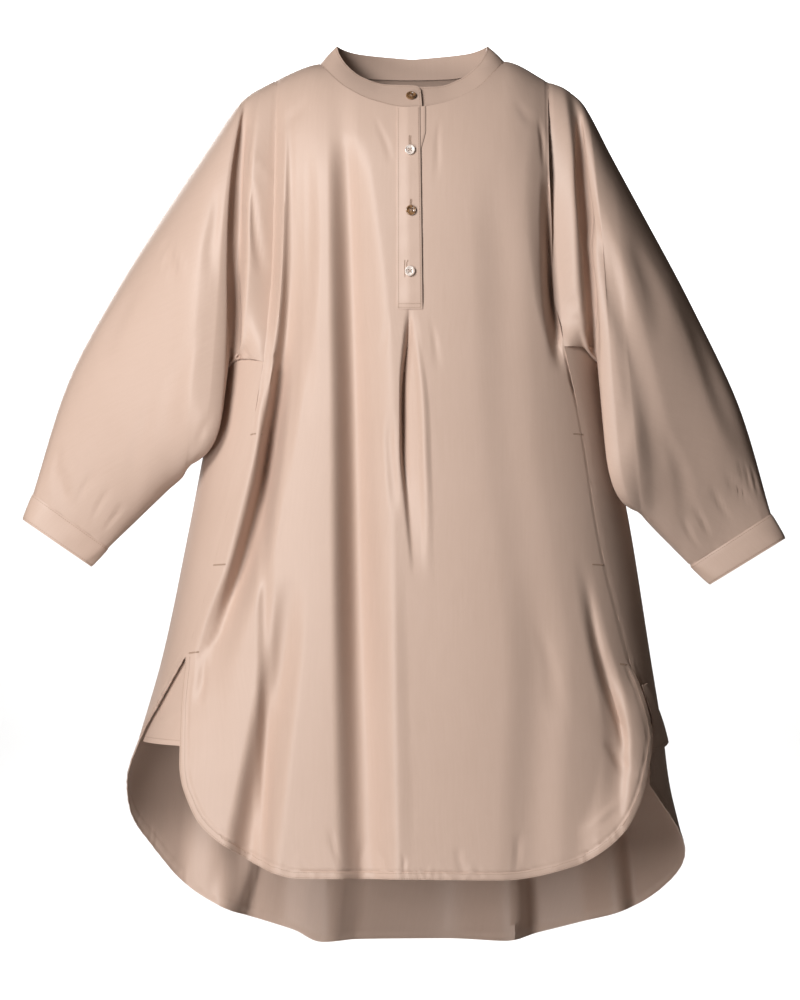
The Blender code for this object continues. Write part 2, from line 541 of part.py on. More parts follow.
# ---------------------------------------------------------------- collar
def neck_point(angle):
    """The neckline at an angle round the neck: 0 in front, -90 on the viewer's left, 180 behind."""
    turn = np.radians(angle)
    reach = np.where(np.sin(turn) < 0, NECK_MIDDLE - FRONT_NECK[0].x, FRONT_NECK[-1].x - NECK_MIDDLE)
    x = NECK_MIDDLE + reach * np.sin(turn)
    before = np.cos(turn) > 0
    drop = np.where(before, column(FRONT_NECK, "x", "drop", x), column(BACK_NECK, "x", "drop", x))
    return body_point(round_angle(x, drop, before), drop)


def collar_grid():
    """Round the neck from the upper end, over the viewer's left shoulder, to the lower end that lies behind it."""
    ends = slice(0, len(COLLAR_END_HEIGHT))
    angles = np.concatenate([np.linspace(COLLAR_UPPER_END, COLLAR_LOWER_END, ends.stop),
                             np.linspace(COLLAR_FROM, COLLAR_TO, COLLAR_COLUMNS),
                             np.linspace(*COLLAR_UNDER, ends.stop)])
    low = neck_point(angles)
    turn = np.radians(angles)
    round_front = np.abs((angles + 180) % 360 - 180)
    depth = np.where(np.cos(turn) > 0, COLLAR_TOP_FRONT, COLLAR_TOP_BACK)
    high = np.stack([NECK_MIDDLE + COLLAR_TOP_WIDTH * np.sin(turn), -depth * np.cos(turn),
                     -column(COLLAR_TOP, "angle", "drop", round_front)], -1)
    low = low + np.array([0, 0, COLLAR_LIFT])
    high[ends] = low[ends] + (high - low)[ends] * np.array(COLLAR_END_HEIGHT)[:, None]
    steps = np.array(COLLAR_STEPS)[:, None, None]
    grid = low[None] * (1 - steps) + high[None] * steps
    out = grid_normals(grid, False)
    out[0, :, 2] = 0
    out = unit(out)
    behind = ease((COLLAR_BEHIND - angles) / COLLAR_BEHIND_REACH)[None, :, None]
    return grid - out * behind * (BAND_WALL + COLLAR_CLEAR), out


# ---------------------------------------------------------------- walls from grids
def grid_normals(grid, closed):
    """A unit normal at each point of a grid that may have holes: the mean of the faces round the point."""
    if closed:
        grid = np.concatenate([grid, grid[:, :1]], axis=1)
    faces = np.cross(grid[1:, 1:] - grid[:-1, :-1], grid[:-1, 1:] - grid[1:, :-1])
    faces = np.nan_to_num(unit(faces))
    total = np.zeros_like(grid)
    for rows in (slice(None, -1), slice(1, None)):
        for columns in (slice(None, -1), slice(1, None)):
            total[rows, columns] += faces
    if closed:
        total[:, 0] += total[:, -1]
        total = total[:, :-1]
    return unit(total)


TOP, BOTTOM = ((0, ALL), (1, ALL)), ((-1, ALL), (-2, ALL))       # each line of a grid with the next one in
LEFT_SIDE, RIGHT_SIDE = ((ALL, 0), (ALL, 1)), ((ALL, -1), (ALL, -2))


def back_lines():
    """The back's sewn lines: top edge, and on each side the armhole, the underarm and the side seam."""
    body = slice(WING_COLUMNS, -WING_COLUMNS)
    arm, low = slice(0, BACK_ARM_ROWS + 1), slice(BACK_ARM_ROWS, BACK_ARM_ROWS + SIDE_ROWS + 1)
    first, last = slice(0, WING_COLUMNS + 1), slice(-WING_COLUMNS - 1, None)
    lines = [((0, body), (1, body))]
    for edge, inner, wing in ((WING_COLUMNS, WING_COLUMNS + 1, first), (-WING_COLUMNS - 1, -WING_COLUMNS - 2, last)):
        lines.append(((arm, edge), (arm, inner)))
        lines.append(((BACK_ARM_ROWS, wing), (BACK_ARM_ROWS + 1, wing)))
    lines += [((low, 0), (low, 1)), ((low, -1), (low, -2))]
    return lines


def drawn_in(grid, lines):
    """Moves lines of a grid in by half the seam gap, along the cloth."""
    moved = grid.copy()
    for edge, inner in lines:
        moved[edge] += drawn(grid[edge], grid[inner])
    return moved


def drawn(edge, inner):
    """How far an edge moves towards the next line of the grid, square to the edge."""
    tangent = unit(np.gradient(edge, axis=0))
    way = inner - edge
    way -= (way * tangent).sum(-1, keepdims=True) * tangent
    return unit(way) * SEAM_GAP / 2


def pocket_opened(grid):
    """Draws the front's side seams in where the pocket mouths are."""
    grid = grid.copy()
    for edge, inner in (LEFT_SIDE, RIGHT_SIDE):
        drop = -grid[edge][:, 2]
        middle, half = (POCKET_TOP + POCKET_BOTTOM) / 2, (POCKET_BOTTOM - POCKET_TOP) / 2
        mouth = ease((1 - np.abs(drop - middle) / half) / POCKET_END)
        grid[edge] += drawn(grid[edge], grid[inner]) * (2 * POCKET_SLOT / SEAM_GAP) * mouth[:, None]
    return grid


def wall(name, grid, normals, thick, finish, closed=False):
    """A closed solid between a grid of outer points and the same grid moved in along the normals.
    Points that are not numbers leave holes in the grid."""
    rows, columns = grid.shape[:2]
    mesh = bmesh.new()
    made = {}

    def corner(layer, spot):
        key = (layer, spot[0], spot[1] % columns)
        if key not in made:
            place = grid[key[1:]] - normals[key[1:]] * thick * layer
            made[key] = mesh.verts.new(place * MM)
        return made[key]

    last = columns if closed else columns - 1
    cells = {}
    for i in range(rows - 1):
        for j in range(last):
            spots = ((i, j), (i + 1, j), (i + 1, j + 1), (i, j + 1))
            if not any(np.isnan(grid[a, b % columns, 0]) for a, b in spots):
                cells[i, j] = spots
    for (i, j), spots in cells.items():
        mesh.faces.new([corner(0, spot) for spot in spots])
        mesh.faces.new([corner(1, spot) for spot in reversed(spots)])
        beside = ((i, j - 1), (i + 1, j), (i, j + 1), (i - 1, j))
        for k, (row, place) in enumerate(beside):
            if (row, place % columns if closed else place) not in cells:
                one, two = spots[k], spots[(k + 1) % 4]
                mesh.faces.new((corner(0, two), corner(0, one), corner(1, one), corner(1, two)))
    bmesh.ops.triangulate(mesh, faces=mesh.faces[:])
    bmesh.ops.recalc_face_normals(mesh, faces=mesh.faces[:])
    return finished(name, mesh, finish)


def finished(name, mesh, finish):
    """Puts a mesh into the scene as a named object with its material."""
    data = bpy.data.meshes.new(name)
    mesh.to_mesh(data)
    mesh.free()
    data.shade_smooth()
    data.set_sharp_from_angle(angle=np.radians(50))
    data.materials.append(material(finish))
    item = bpy.data.objects.new(name, data)
    bpy.context.scene.collection.objects.link(item)
    return item


def material(name):
    """The Principled material of a finish, made once."""
    made = bpy.data.materials.get(name)
    if made:
        return made
    made = bpy.data.materials.new(name)
    made.use_nodes = True
    shader = made.node_tree.nodes["Principled BSDF"]
    finish = FINISHES[name]
    shader.inputs["Base Color"].default_value = (*finish.colour, 1)
    shader.inputs["Roughness"].default_value = finish.roughness
    shader.inputs["Metallic"].default_value = finish.metallic
    return made


# ---------------------------------------------------------------- building the pieces
def share_normals(panels):
    """Points of different panels at one place turn the same way there, so that their edges lie side by side.
    Each panel is its grid, its normals, and the normals of its flat pieces of cloth."""
    places = {}
    for grid, out, flat_out in panels:
        for spot in np.ndindex(grid.shape[:2]):
            if not np.isnan(grid[spot][0]):
                places.setdefault(tuple(np.round(grid[spot], 2)), []).append((out, flat_out, spot))
    for meeting in places.values():
        if len(meeting) > 1:
            mean = unit(sum(flat_out[spot] for _, flat_out, spot in meeting))
            for out, _, spot in meeting:
                out[spot] = mean


def build_cloth():
    """Front, back, sleeves and cuffs, whose edges meet at shared seam points."""
    front, back = front_grid(), back_grid()
    panels = [(*front, grid_normals(front[0], False)), (*back, -grid_normals(back[0], False))]
    tubes = {}
    for name, side in (("left", LEFT), ("right", RIGHT)):
        for kind, make in (("sleeve", sleeve_grid), ("cuff", cuff_grid)):
            grid = make(side)
            out = -side * grid_normals(grid, True)
            tubes[f"{kind}_{name}"] = (grid, out)
            panels.append((grid, out, out.copy()))
    share_normals(panels)
    front_seams = drawn_in(front[0], (TOP, LEFT_SIDE, RIGHT_SIDE))
    wall("front_panel", pocket_opened(front_seams), front[1], WALL, "sateen")
    wall("back_panel", drawn_in(back[0], back_lines()), back[1], WALL, "sateen")
    for name, (grid, out) in tubes.items():
        if name.startswith("cuff"):
            grid = grid + out * np.array(CUFF_PROUD)[:, None, None]
            wall(name, drawn_in(grid, (TOP,)), out, BAND_WALL, "sateen", True)
        else:
            wall(name, drawn_in(grid, (TOP, BOTTOM)), out, WALL, "sateen", True)


def build_collar():
    grid, out = collar_grid()
    wall("collar", grid, out, BAND_WALL, "sateen")


def strip_grid(strip):
    """A strip that lies on the front, from the neckline down."""
    t = np.linspace(0, 1, STRIP_ROWS + 1)[:, None]
    s = np.linspace(0, 1, STRIP_COLUMNS + 1)[None, :]
    right = np.interp(t, [edge.share for edge in strip.right], [edge.x for edge in strip.right])
    x = strip.left + (right - strip.left) * s
    start = column(FRONT_NECK, "x", "drop", x)
    drop = start + (strip.bottom - start) * t
    x, drop = np.broadcast_arrays(x, drop)
    return front_point(x, drop), facing(front_point, x, drop)


def build_placket():
    for name, strip in (("placket_under", PLACKET_UNDER), ("placket_over", PLACKET_OVER)):
        grid, normals = strip_grid(strip)
        wall(name, grid + normals * (strip.lift + STRIP_WALL), normals, STRIP_WALL, "sateen")


def build_buttons():
    """Turned buttons with a raised rim, each square to the cloth under it."""
    for number, button in enumerate(BUTTONS, 1):
        if button.on_collar:
            patch = collar_patch()
            rise = 2 * SEAM_GAP
        else:
            steps = np.array([-1.0, 0.0, 1.0])
            patch = front_point(*np.meshgrid(button.x + steps, button.drop + steps))
            rise = PLACKET_OVER.lift + STRIP_WALL + SEAM_GAP
        out = grid_normals(patch, False)[1, 1]
        finish = "button_tortoise" if number % 2 else "button_shell"
        build_button(f"button_{number}", patch[1, 1] + out * rise, out, finish)


def collar_patch():
    """Nine points round the button's place on the collar's upper end."""
    down = collar_grid()[0][::-1, :len(COLLAR_END_HEIGHT)]
    middle = (down[1, 1] + down[2, 2] + down[1, 2] + down[2, 1]) / 4
    across = unit(down[1, 1] - down[1, 2])
    up = unit(down[1, 1] - down[2, 1])
    steps = (-1, 0, 1)
    return np.array([[middle + across * b - up * a for b in steps] for a in steps])


def build_button(name, middle, out, finish):
    """One button turned round the line that leads out from the cloth."""
    side = unit(np.cross(out, (0, 0, 1)))
    up = np.cross(side, out)
    mesh = bmesh.new()
    turns = [2 * np.pi * k / BUTTON_SIDES for k in range(BUTTON_SIDES)]
    rings = []
    for step in BUTTON_PROFILE:
        centre = middle + out * step.height * BUTTON_THICK
        if step.radius == 0:
            rings.append([mesh.verts.new(centre * MM)])
            continue
        arms = [(side * np.cos(a) + up * np.sin(a)) * step.radius * BUTTON_WIDTH / 2 for a in turns]
        rings.append([mesh.verts.new((centre + arm) * MM) for arm in arms])
    for low, high in zip(rings, rings[1:]):
        for j in range(BUTTON_SIDES):
            k = (j + 1) % BUTTON_SIDES
            if len(low) == 1:
                mesh.faces.new((low[0], high[j], high[k]))
            elif len(high) == 1:
                mesh.faces.new((low[j], high[0], low[k]))
            else:
                mesh.faces.new((low[j], high[j], high[k], low[k]))
    bmesh.ops.triangulate(mesh, faces=mesh.faces[:])
    bmesh.ops.recalc_face_normals(mesh, faces=mesh.faces[:])
    finished(name, mesh, finish)


def body_normal(angle, drop):
    """The way out from the body, level, at an angle round it."""
    step = body_point(angle + 1, drop) - body_point(angle - 1, drop)
    return unit(np.stack([-step[..., 1], step[..., 0], np.zeros_like(step[..., 0])], -1))


def beside_body(angle, drop, out):
    """A point that stands out from the body's outer face."""
    angle, drop, out = np.broadcast_arrays(angle, drop, out)
    return body_point(angle, drop) + body_normal(angle, drop) * out[..., None]


def vent_angles(side, t):
    """Drops down a vent's front and back edges, and the angles of those edges."""
    back_low, front_low = GUSSET_BOTTOM[side]
    top = SIDE_SEAM[side][-1]
    front_drop = top.drop + (front_low - top.drop) * t
    back_drop = top.drop + (back_low - top.drop) * t
    front = round_angle(np.interp(front_drop, *vent_edge(side)), front_drop, True)
    corner = float(round_angle(np.array(top.x, float), np.array(top.drop, float), True))
    angles = [corner] + [turn.angle for turn in BACK_EDGE[side][1:]]
    back = smooth([turn.drop for turn in BACK_EDGE[side]], angles, back_drop)
    return front_drop, back_drop, front, back


def gusset_left_grid():
    """Spans the open vent just inside both edges, with a straight lower edge."""
    t = np.linspace(GUSSET_START[LEFT], 1, GUSSET_ROWS)[:, None]
    s = np.linspace(0, 1, GUSSET_COLUMNS)[None, :]
    front_drop, back_drop, front, back = vent_angles(LEFT, t)
    angle = (back + LEFT_GUSSET_BACK) * (1 - s) + (front + LEFT_GUSSET_FRONT) * s
    return beside_body(angle, back_drop * (1 - s) + front_drop * s, -GUSSET_INSET)


def gusset_right_grid():
    """Folded outwards over the back's edge: a front layer, a round fold and a layer that lies on the back."""
    t = np.linspace(GUSSET_START[RIGHT], 1, GUSSET_ROWS)[:, None]
    front_drop, back_drop, front, _ = vent_angles(RIGHT, t)
    share = np.array([line.share for line in GUSSET_LINES])[None, :]
    share = np.where(share < 0, GUSSET_TUCK + (share - GUSSET_TUCK) * ease(3 * t - 1.6), share)
    out = np.array([line.out for line in GUSSET_LINES])[None, :]
    opened = GUSSET_THIN + (1 - GUSSET_THIN) * ease(2 * t - 0.4)
    out = GUSSET_CLEAR + (out - GUSSET_CLEAR) * opened
    start = front[0, 0]
    fold = start + (GUSSET_FOLD_ANGLE - start) * t
    angle = front * (1 - share) + fold * share
    drop = front_drop + (back_drop - front_drop) * np.clip(share, 0, 1)
    return beside_body(angle, drop, out)


def build_gussets():
    for name, grid in (("gusset_left", gusset_left_grid()), ("gusset_right", gusset_right_grid())):
        wall(name, grid, grid_normals(grid, False), STRIP_WALL, "sateen")


def main():
    for item in list(bpy.data.objects):
        bpy.data.objects.remove(item)
    build_cloth()
    build_collar()
    build_placket()
    build_buttons()
    build_gussets()


main()
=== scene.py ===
"""The mandarin collar dress in rose-beige cotton sateen, as it hangs filled out with no wearer.

Sizes are in millimetres and turn into metres where a mesh is made. The front faces -Y, +X is the viewer's
right, and "drop" is how far a point lies below the base of the neck.
"""

import logging
import math
from dataclasses import dataclass, field
from enum import IntEnum
from typing import Callable, Iterable, NamedTuple, Sequence

import bmesh
import bpy
import numpy as np
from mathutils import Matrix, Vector
from mathutils.bvhtree import BVHTree
from mathutils.kdtree import KDTree


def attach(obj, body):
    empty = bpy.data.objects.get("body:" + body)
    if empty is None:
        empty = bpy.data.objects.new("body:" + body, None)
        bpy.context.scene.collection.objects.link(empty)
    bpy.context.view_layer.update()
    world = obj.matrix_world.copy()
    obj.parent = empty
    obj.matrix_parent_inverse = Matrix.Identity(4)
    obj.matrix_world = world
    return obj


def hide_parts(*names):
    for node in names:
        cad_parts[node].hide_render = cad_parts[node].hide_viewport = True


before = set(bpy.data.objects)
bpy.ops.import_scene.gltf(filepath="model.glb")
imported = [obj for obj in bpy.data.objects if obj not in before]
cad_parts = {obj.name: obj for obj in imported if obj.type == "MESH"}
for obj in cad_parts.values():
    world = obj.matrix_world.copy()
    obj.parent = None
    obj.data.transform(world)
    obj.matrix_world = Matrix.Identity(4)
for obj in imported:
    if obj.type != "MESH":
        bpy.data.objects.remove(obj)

LOG = logging.getLogger("dress")
Array = np.ndarray
MM = 0.001
BODY = "root"
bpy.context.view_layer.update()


class Side(IntEnum):
    """The viewer's left and right."""

    LEFT = -1
    RIGHT = 1


# ---------------------------------------------------------------- rows of the tables
class Section(NamedTuple):
    """The body's width to each side and depth to the front and back at one height."""

    drop: float
    left: float
    right: float
    front: float
    back: float


class Mark(NamedTuple):
    """A place seen from the front."""

    x: float
    drop: float


class Seam(NamedTuple):
    """A place on a seam, read by its drop."""

    drop: float
    x: float


class Turn(NamedTuple):
    """A place on the body: angle from the middle of the back, 90 at its side."""

    angle: float
    drop: float


class Flare(NamedTuple):
    """How the front stands forward beside a vent."""

    top: float
    full: float
    reach: float
    lift: float


class Knot(NamedTuple):
    """A place on a fold: how deep it goes in and how wide its walls are on the left and the right."""

    drop: float
    x: float
    deep: float
    rise: float
    run: float


class Crease(NamedTuple):
    """A short straight trough between two places, or a ridge where deep is below 0."""

    x: float
    drop: float
    end_x: float
    end_drop: float
    deep: float
    wide: float


class Ring(NamedTuple):
    """One ring of a sleeve, from its top outline to its underarm seam."""

    at: float
    top_x: float
    top_drop: float
    low_x: float
    low_drop: float
    low_y: float
    front: float
    back: float
    full: float
    lap: float


class CuffEdge(NamedTuple):
    """The two ends of a cuff's mouth."""

    top_x: float
    top_drop: float
    low_x: float
    low_drop: float


class Lean(NamedTuple):
    """The height of the collar's upper edge at an angle round the neck."""

    angle: float
    drop: float


class Edge(NamedTuple):
    """Where a strip's side runs, at a share of its length."""

    share: float
    x: float


class Line(NamedTuple):
    """One line of the right gusset: a share of the way to its fold, and how far it stands out."""

    share: float
    out: float


class Zone(NamedTuple):
    """A stretch of a panel's width with evenly spaced columns."""

    end: float
    count: int


class ButtonPlace(NamedTuple):
    """Where a button sits and what it is made of."""

    x: float
    drop: float
    on_collar: bool
    dark: bool


Folds = dict[str, tuple[Knot, ...]]

SECTIONS = (
    Section(-30, -196, 200, 76, 58), Section(60, -203, 207, 92, 82), Section(150, -211, 215, 108, 98),
    Section(342, -222, 226, 128, 118), Section(445, -241, 241, 133, 127), Section(550, -261, 260, 138, 135),
    Section(684, -289, 281, 142, 142), Section(785, -318, 297, 145, 148), Section(831, -331, 303, 146, 151),
    Section(924, -337, 323, 148, 156), Section(1030, -340, 332, 150, 160),
)
TOP_LINE = (
    Mark(-220, 64), Mark(-194, 34), Mark(-156, 12), Mark(-106, -7), Mark(0, -14), Mark(111, -10),
    Mark(161, 14), Mark(199, 36), Mark(220, 68),
)
FRONT_NECK = (
    Mark(-106, -7), Mark(-77, 20), Mark(-43, 37), Mark(0, 46), Mark(34, 41), Mark(77, 23), Mark(111, -10),
)
BACK_NECK = (
    Mark(-106, -7), Mark(-80, 3), Mark(-40, 9), Mark(0, 10), Mark(44, 9), Mark(84, 2), Mark(111, -10),
)
FRONT_HEM = (
    Mark(-261, 686), Mark(-267, 755), Mark(-268, 812), Mark(-250, 872), Mark(-202, 914), Mark(-130, 943),
    Mark(0, 944), Mark(108, 945), Mark(191, 929), Mark(251, 887), Mark(274, 835), Mark(282, 779),
    Mark(269, 723), Mark(259, 700),
)
FRONT_CORNERS = (0.245, 0.79)
ARMHOLE_FRONT = {
    Side.LEFT: (Seam(12, -156), Seam(94, -158), Seam(222, -161), Seam(292, -166), Seam(342, -171)),
    Side.RIGHT: (Seam(14, 161), Seam(94, 162), Seam(180, 164), Seam(260, 167), Seam(324, 180)),
}
ARMHOLE_BACK = {
    Side.LEFT: (Seam(12, -156), Seam(90, -172), Seam(200, -192), Seam(290, -212), Seam(350, -222)),
    Side.RIGHT: (Seam(14, 161), Seam(90, 176), Seam(200, 196), Seam(290, 216), Seam(340, 226)),
}
SIDE_SEAM = {
    Side.LEFT: (Seam(342, -171), Seam(432, -187), Seam(504, -209), Seam(579, -229), Seam(620, -241),
                Seam(686, -261)),
    Side.RIGHT: (Seam(324, 180), Seam(411, 199), Seam(552, 222), Seam(632, 241), Seam(700, 259)),
}
BACK_EDGE = {
    Side.LEFT: (Turn(-118, 686), Turn(-114.5, 706), Turn(-111, 726), Turn(-107.4, 745), Turn(-97, 785),
                Turn(-90, 822)),
    Side.RIGHT: (Turn(116, 700), Turn(110.5, 733), Turn(110.5, 785), Turn(115, 836), Turn(107, 865),
                 Turn(90, 910)),
}
BACK_HEM = (
    Turn(-90, 822), Turn(-77, 868), Turn(-62, 907), Turn(-46, 959), Turn(-34, 986), Turn(-26, 998),
    Turn(-19, 1010), Turn(-13, 1024), Turn(-7, 1021), Turn(6, 1020), Turn(16, 1022), Turn(24, 1012),
    Turn(33, 1001), Turn(48, 984), Turn(68, 949), Turn(90, 910),
)
VENT_FLARE = {Side.LEFT: Flare(690, 790, 50, 4), Side.RIGHT: Flare(696, 760, 60, 20)}

# The large folds, in the panels' own solids too.
FRONT_FOLDS: Folds = {
    "armhole edge, left": (Knot(20, -157, 2, 10, 12), Knot(110, -158, 12, 10, 14), Knot(260, -163, 14, 10, 14),
                           Knot(330, -169, 4, 10, 12)),
    "left trough": (Knot(70, -131, 0, 14, 28), Knot(211, -134, 10, 15, 32), Knot(328, -145, 20, 15, 32),
                    Knot(445, -165, 24, 16, 32), Knot(562, -187, 22, 24, 32), Knot(679, -230, 9, 24, 34),
                    Knot(740, -240, 0, 24, 34)),
    "left soft trough": (Knot(30, -80, 1, 20, 18), Knot(152, -75, 5, 22, 20), Knot(386, -67, 8, 28, 24),
                         Knot(620, -59, 11, 34, 32), Knot(854, -51, 9, 38, 36), Knot(960, -47, 9, 40, 38)),
    "lower left trough": (Knot(590, -138, 0, 20, 20), Knot(679, -146, 7, 24, 24), Knot(760, -160, 11, 26, 28),
                          Knot(854, -176, 14, 30, 34), Knot(940, -190, 13, 34, 38)),
    "inverted pleat": (Knot(282, -1, 0, 4, 10), Knot(316, -4, 5, 5, 18), Knot(373, -8, 9, 5, 26),
                       Knot(440, -8, 10, 5, 28), Knot(503, -2, 6, 6, 26), Knot(590, 6, 0, 6, 20)),
    "right soft trough": (Knot(110, 96, 0, 30, 30), Knot(230, 104, 3, 34, 34), Knot(420, 112, 2, 36, 36),
                          Knot(560, 132, 2, 38, 38), Knot(700, 150, 5, 40, 40), Knot(830, 144, 5, 40, 40),
                          Knot(960, 140, 4, 42, 42)),
    "armhole edge, right": (Knot(24, 161, 2, 16, 10), Knot(152, 164, 20, 32, 10), Knot(260, 169, 24, 26, 10),
                            Knot(320, 179, 12, 22, 10)),
    "lower right valley": (Knot(570, 199, 0, 12, 12), Knot(660, 216, 4, 14, 14), Knot(740, 238, 8, 20, 16),
                           Knot(800, 248, 8, 26, 20), Knot(880, 240, 3, 26, 20)),
}
BACK_FOLDS: Folds = {
    "left hem wave": (Knot(600, -190, 0, 44, 36), Knot(800, -215, 12, 48, 34), Knot(1000, -228, 24, 50, 32)),
    "second hem wave": (Knot(330, -84, 0, 34, 30), Knot(620, -94, 7, 44, 32), Knot(1030, -106, 15, 52, 32)),
    "middle hem wave": (Knot(180, 58, 0, 40, 36), Knot(560, 86, 8, 60, 34), Knot(830, 112, 16, 80, 30),
                        Knot(1030, 122, 25, 90, 28)),
    "right hem wave": (Knot(560, 190, 0, 30, 30), Knot(800, 222, 9, 32, 32), Knot(1000, 236, 17, 32, 34)),
    "shoulder blade trough, left": (Knot(60, -96, 0, 20, 20), Knot(190, -110, 9, 26, 24),
                                    Knot(400, -126, 7, 30, 28), Knot(640, -140, 0, 30, 30)),
    "shoulder blade trough, right": (Knot(70, 108, 0, 20, 20), Knot(220, 124, 10, 24, 26),
                                     Knot(430, 140, 7, 28, 30), Knot(620, 150, 0, 30, 30)),
}

# The smaller folds, which only the cloth has.
FRONT_FINE_FOLDS: Folds = {
    "wall of the left soft trough": (Knot(80, -76, 0, 20, 26), Knot(130, -72, 9, 24, 30), Knot(270, -66, 18, 29, 42),
                                     Knot(386, -63, 21, 30, 46), Knot(620, -61, 21, 30, 46),
                                     Knot(740, -59, 18, 30, 46), Knot(854, -57, 16, 30, 46),
                                     Knot(944, -55, 14, 30, 46)),
    "softer armhole edge, right": (Knot(24, 161, -1, 16, 10), Knot(152, 164, -13, 32, 10),
                                   Knot(260, 169, -12, 26, 10), Knot(320, 179, 0, 22, 10)),
    "right armhole's dark fold": (Knot(120, 160, 0, 10, 6), Knot(180, 161, 14, 11, 6), Knot(260, 165, 20, 13, 6),
                                  Knot(310, 171, 12, 13, 6), Knot(350, 180, 0, 12, 6)),
    "flat beside the right seam": (Knot(318, 179, 0, 22, 10), Knot(350, 179, -12, 22, 10)),
    "pleat gap": (Knot(284, -1, 0, 1.8, 6), Knot(318, -3, 5, 1.8, 7), Knot(350, -7, 7, 1.8, 8),
                  Knot(395, -10, 7, 2.0, 9), Knot(445, -9, 4, 2.0, 9), Knot(505, -4, 1, 2.6, 9),
                  Knot(588, 5, 0, 3, 9)),
    "pleat's right crease": (Knot(284, 1, 0, 5, 5), Knot(338, 9, -1.6, 6, 7), Knot(397, 15, -2.4, 8, 9),
                             Knot(454, 17, -2.4, 8, 9), Knot(511, 19, -1.6, 8, 9), Knot(600, 20, 0, 8, 9)),
    "dent beside the pleat": (Knot(400, -22, 0, 8, 7), Knot(430, -23, 2.6, 9, 8), Knot(480, -20, 2.6, 9, 8),
                              Knot(520, -17, 0, 8, 8)),
    "fold under the left shoulder": (Knot(40, -140, 0, 5, 8), Knot(150, -141, 3.0, 6, 9),
                                     Knot(245, -144, 3.4, 6, 9), Knot(330, -150, 0, 6, 9)),
    "second left fold": (Knot(90, -118, 0, 7, 10), Knot(200, -116, 2.0, 9, 12), Knot(330, -118, 1.6, 10, 12),
                         Knot(430, -122, 0, 10, 12)),
    "edge of the left trough": (Knot(340, -140, 0, 7, 8), Knot(430, -146, -2.2, 9, 10),
                                Knot(500, -152, -2.4, 10, 10), Knot(600, -170, 0, 9, 10)),
    "black trough": (Knot(318, -150, 0, 8, 14), Knot(386, -157, 16, 9, 20), Knot(452, -166, 20, 9, 22),
                     Knot(510, -179, 19, 11, 24), Knot(569, -194, 16, 14, 26), Knot(620, -207, 10, 16, 26),
                     Knot(700, -230, 0, 16, 26)),
    "pocket mouth, left": (Knot(424, -182, 0, 2.4, 4), Knot(440, -186, 2.2, 2.4, 4), Knot(540, -215, 2.4, 2.4, 4),
                           Knot(574, -225, 0, 2.4, 4)),
    "lower middle ridge": (Knot(560, -20, 0, 14, 16), Knot(700, -18, -1.8, 16, 18), Knot(860, -14, -1.6, 18, 20),
                           Knot(945, -12, 0, 18, 20)),
    "lower left crease": (Knot(590, -142, 0, 18, 24), Knot(700, -156, 6, 22, 30), Knot(790, -170, 9, 26, 34),
                          Knot(880, -184, 11, 28, 36), Knot(930, -192, 9, 28, 36)),
    "line beside the right vent": (Knot(600, 206, 0, 7, 6), Knot(668, 217, 4, 9, 7), Knot(725, 232, 6, 9, 8),
                                   Knot(772, 248, 6, 10, 8), Knot(812, 256, 0, 10, 8)),
}
BACK_FINE_FOLDS: Folds = {
    "left inside fold": (Knot(800, -174, 0, 30, 9), Knot(900, -181, 9, 36, 9), Knot(930, -187, 14, 40, 9),
                         Knot(990, -205, 20, 44, 10)),
    "left band of the hem": (Knot(860, -72, 0, 28, 9), Knot(930, -75, 9, 34, 9), Knot(980, -78, 15, 36, 9),
                             Knot(1040, -80, 18, 38, 9)),
    "vertical fold of the hem": (Knot(780, 120, 0, 50, 7), Knot(900, 128, 10, 70, 7), Knot(950, 130, 15, 80, 7),
                                 Knot(1040, 127, 20, 86, 7)),
    "right inside ridge": (Knot(840, 236, 0, 30, 18), Knot(920, 243, 9, 36, 16), Knot(990, 250, 14, 40, 16)),
    "long back fold": (Knot(260, -30, 0, 14, 16), Knot(450, -34, 4, 16, 18), Knot(700, -40, 5, 20, 20),
                       Knot(900, -46, 3, 20, 20), Knot(1020, -50, 0, 20, 20)),
    "right back fold": (Knot(340, 176, 0, 14, 12), Knot(520, 190, 5, 16, 14), Knot(760, 206, 6, 18, 14),
                        Knot(880, 214, 0, 18, 14)),
    "left back fold": (Knot(360, -160, 0, 12, 14), Knot(540, -176, 5, 14, 16), Knot(740, -190, 4, 14, 16),
                       Knot(850, -196, 0, 14, 16)),
}
FRONT_CREASES = (
    Crease(-150, 330, -172, 352, 2.0, 5), Crease(-146, 352, -170, 366, 1.8, 4), Crease(-170, 360, -180, 400, 1.6, 5),
    Crease(-214, 650, -250, 690, 2.6, 8), Crease(-240, 668, -256, 684, 1.6, 3), Crease(-236, 678, -254, 692, 1.4, 3),
    Crease(-240, 692, -246, 740, 2.8, 9),
    Crease(-232, 690, -252, 700, 1.2, 3), Crease(150, 60, 160, 120, 2.0, 6), Crease(120, 40, 150, 66, 1.2, 8),
    Crease(-120, 36, -150, 70, 1.4, 8), Crease(172, 322, 190, 350, 2.2, 5), Crease(184, 350, 199, 392, 2.2, 5),
    Crease(226, 784, 262, 826, 3.2, 12), Crease(204, 886, 250, 852, -1.4, 7), Crease(150, 650, 178, 760, 1.2, 16), Crease(-40, 58, -20, 110, 0.9, 6),
    Crease(34, 60, 30, 130, 0.8, 6), Crease(-26, 290, -34, 340, 1.0, 6), Crease(24, 296, 34, 350, 1.0, 7),
    Crease(-84, 926, -92, 884, 1.6, 6), Crease(-58, 936, -54, 900, 1.4, 5), Crease(-30, 938, -34, 908, 1.4, 5),
    Crease(-6, 938, -8, 914, 1.2, 5), Crease(60, 940, 56, 904, 1.2, 6), Crease(122, 936, 128, 888, 1.6, 7),
)
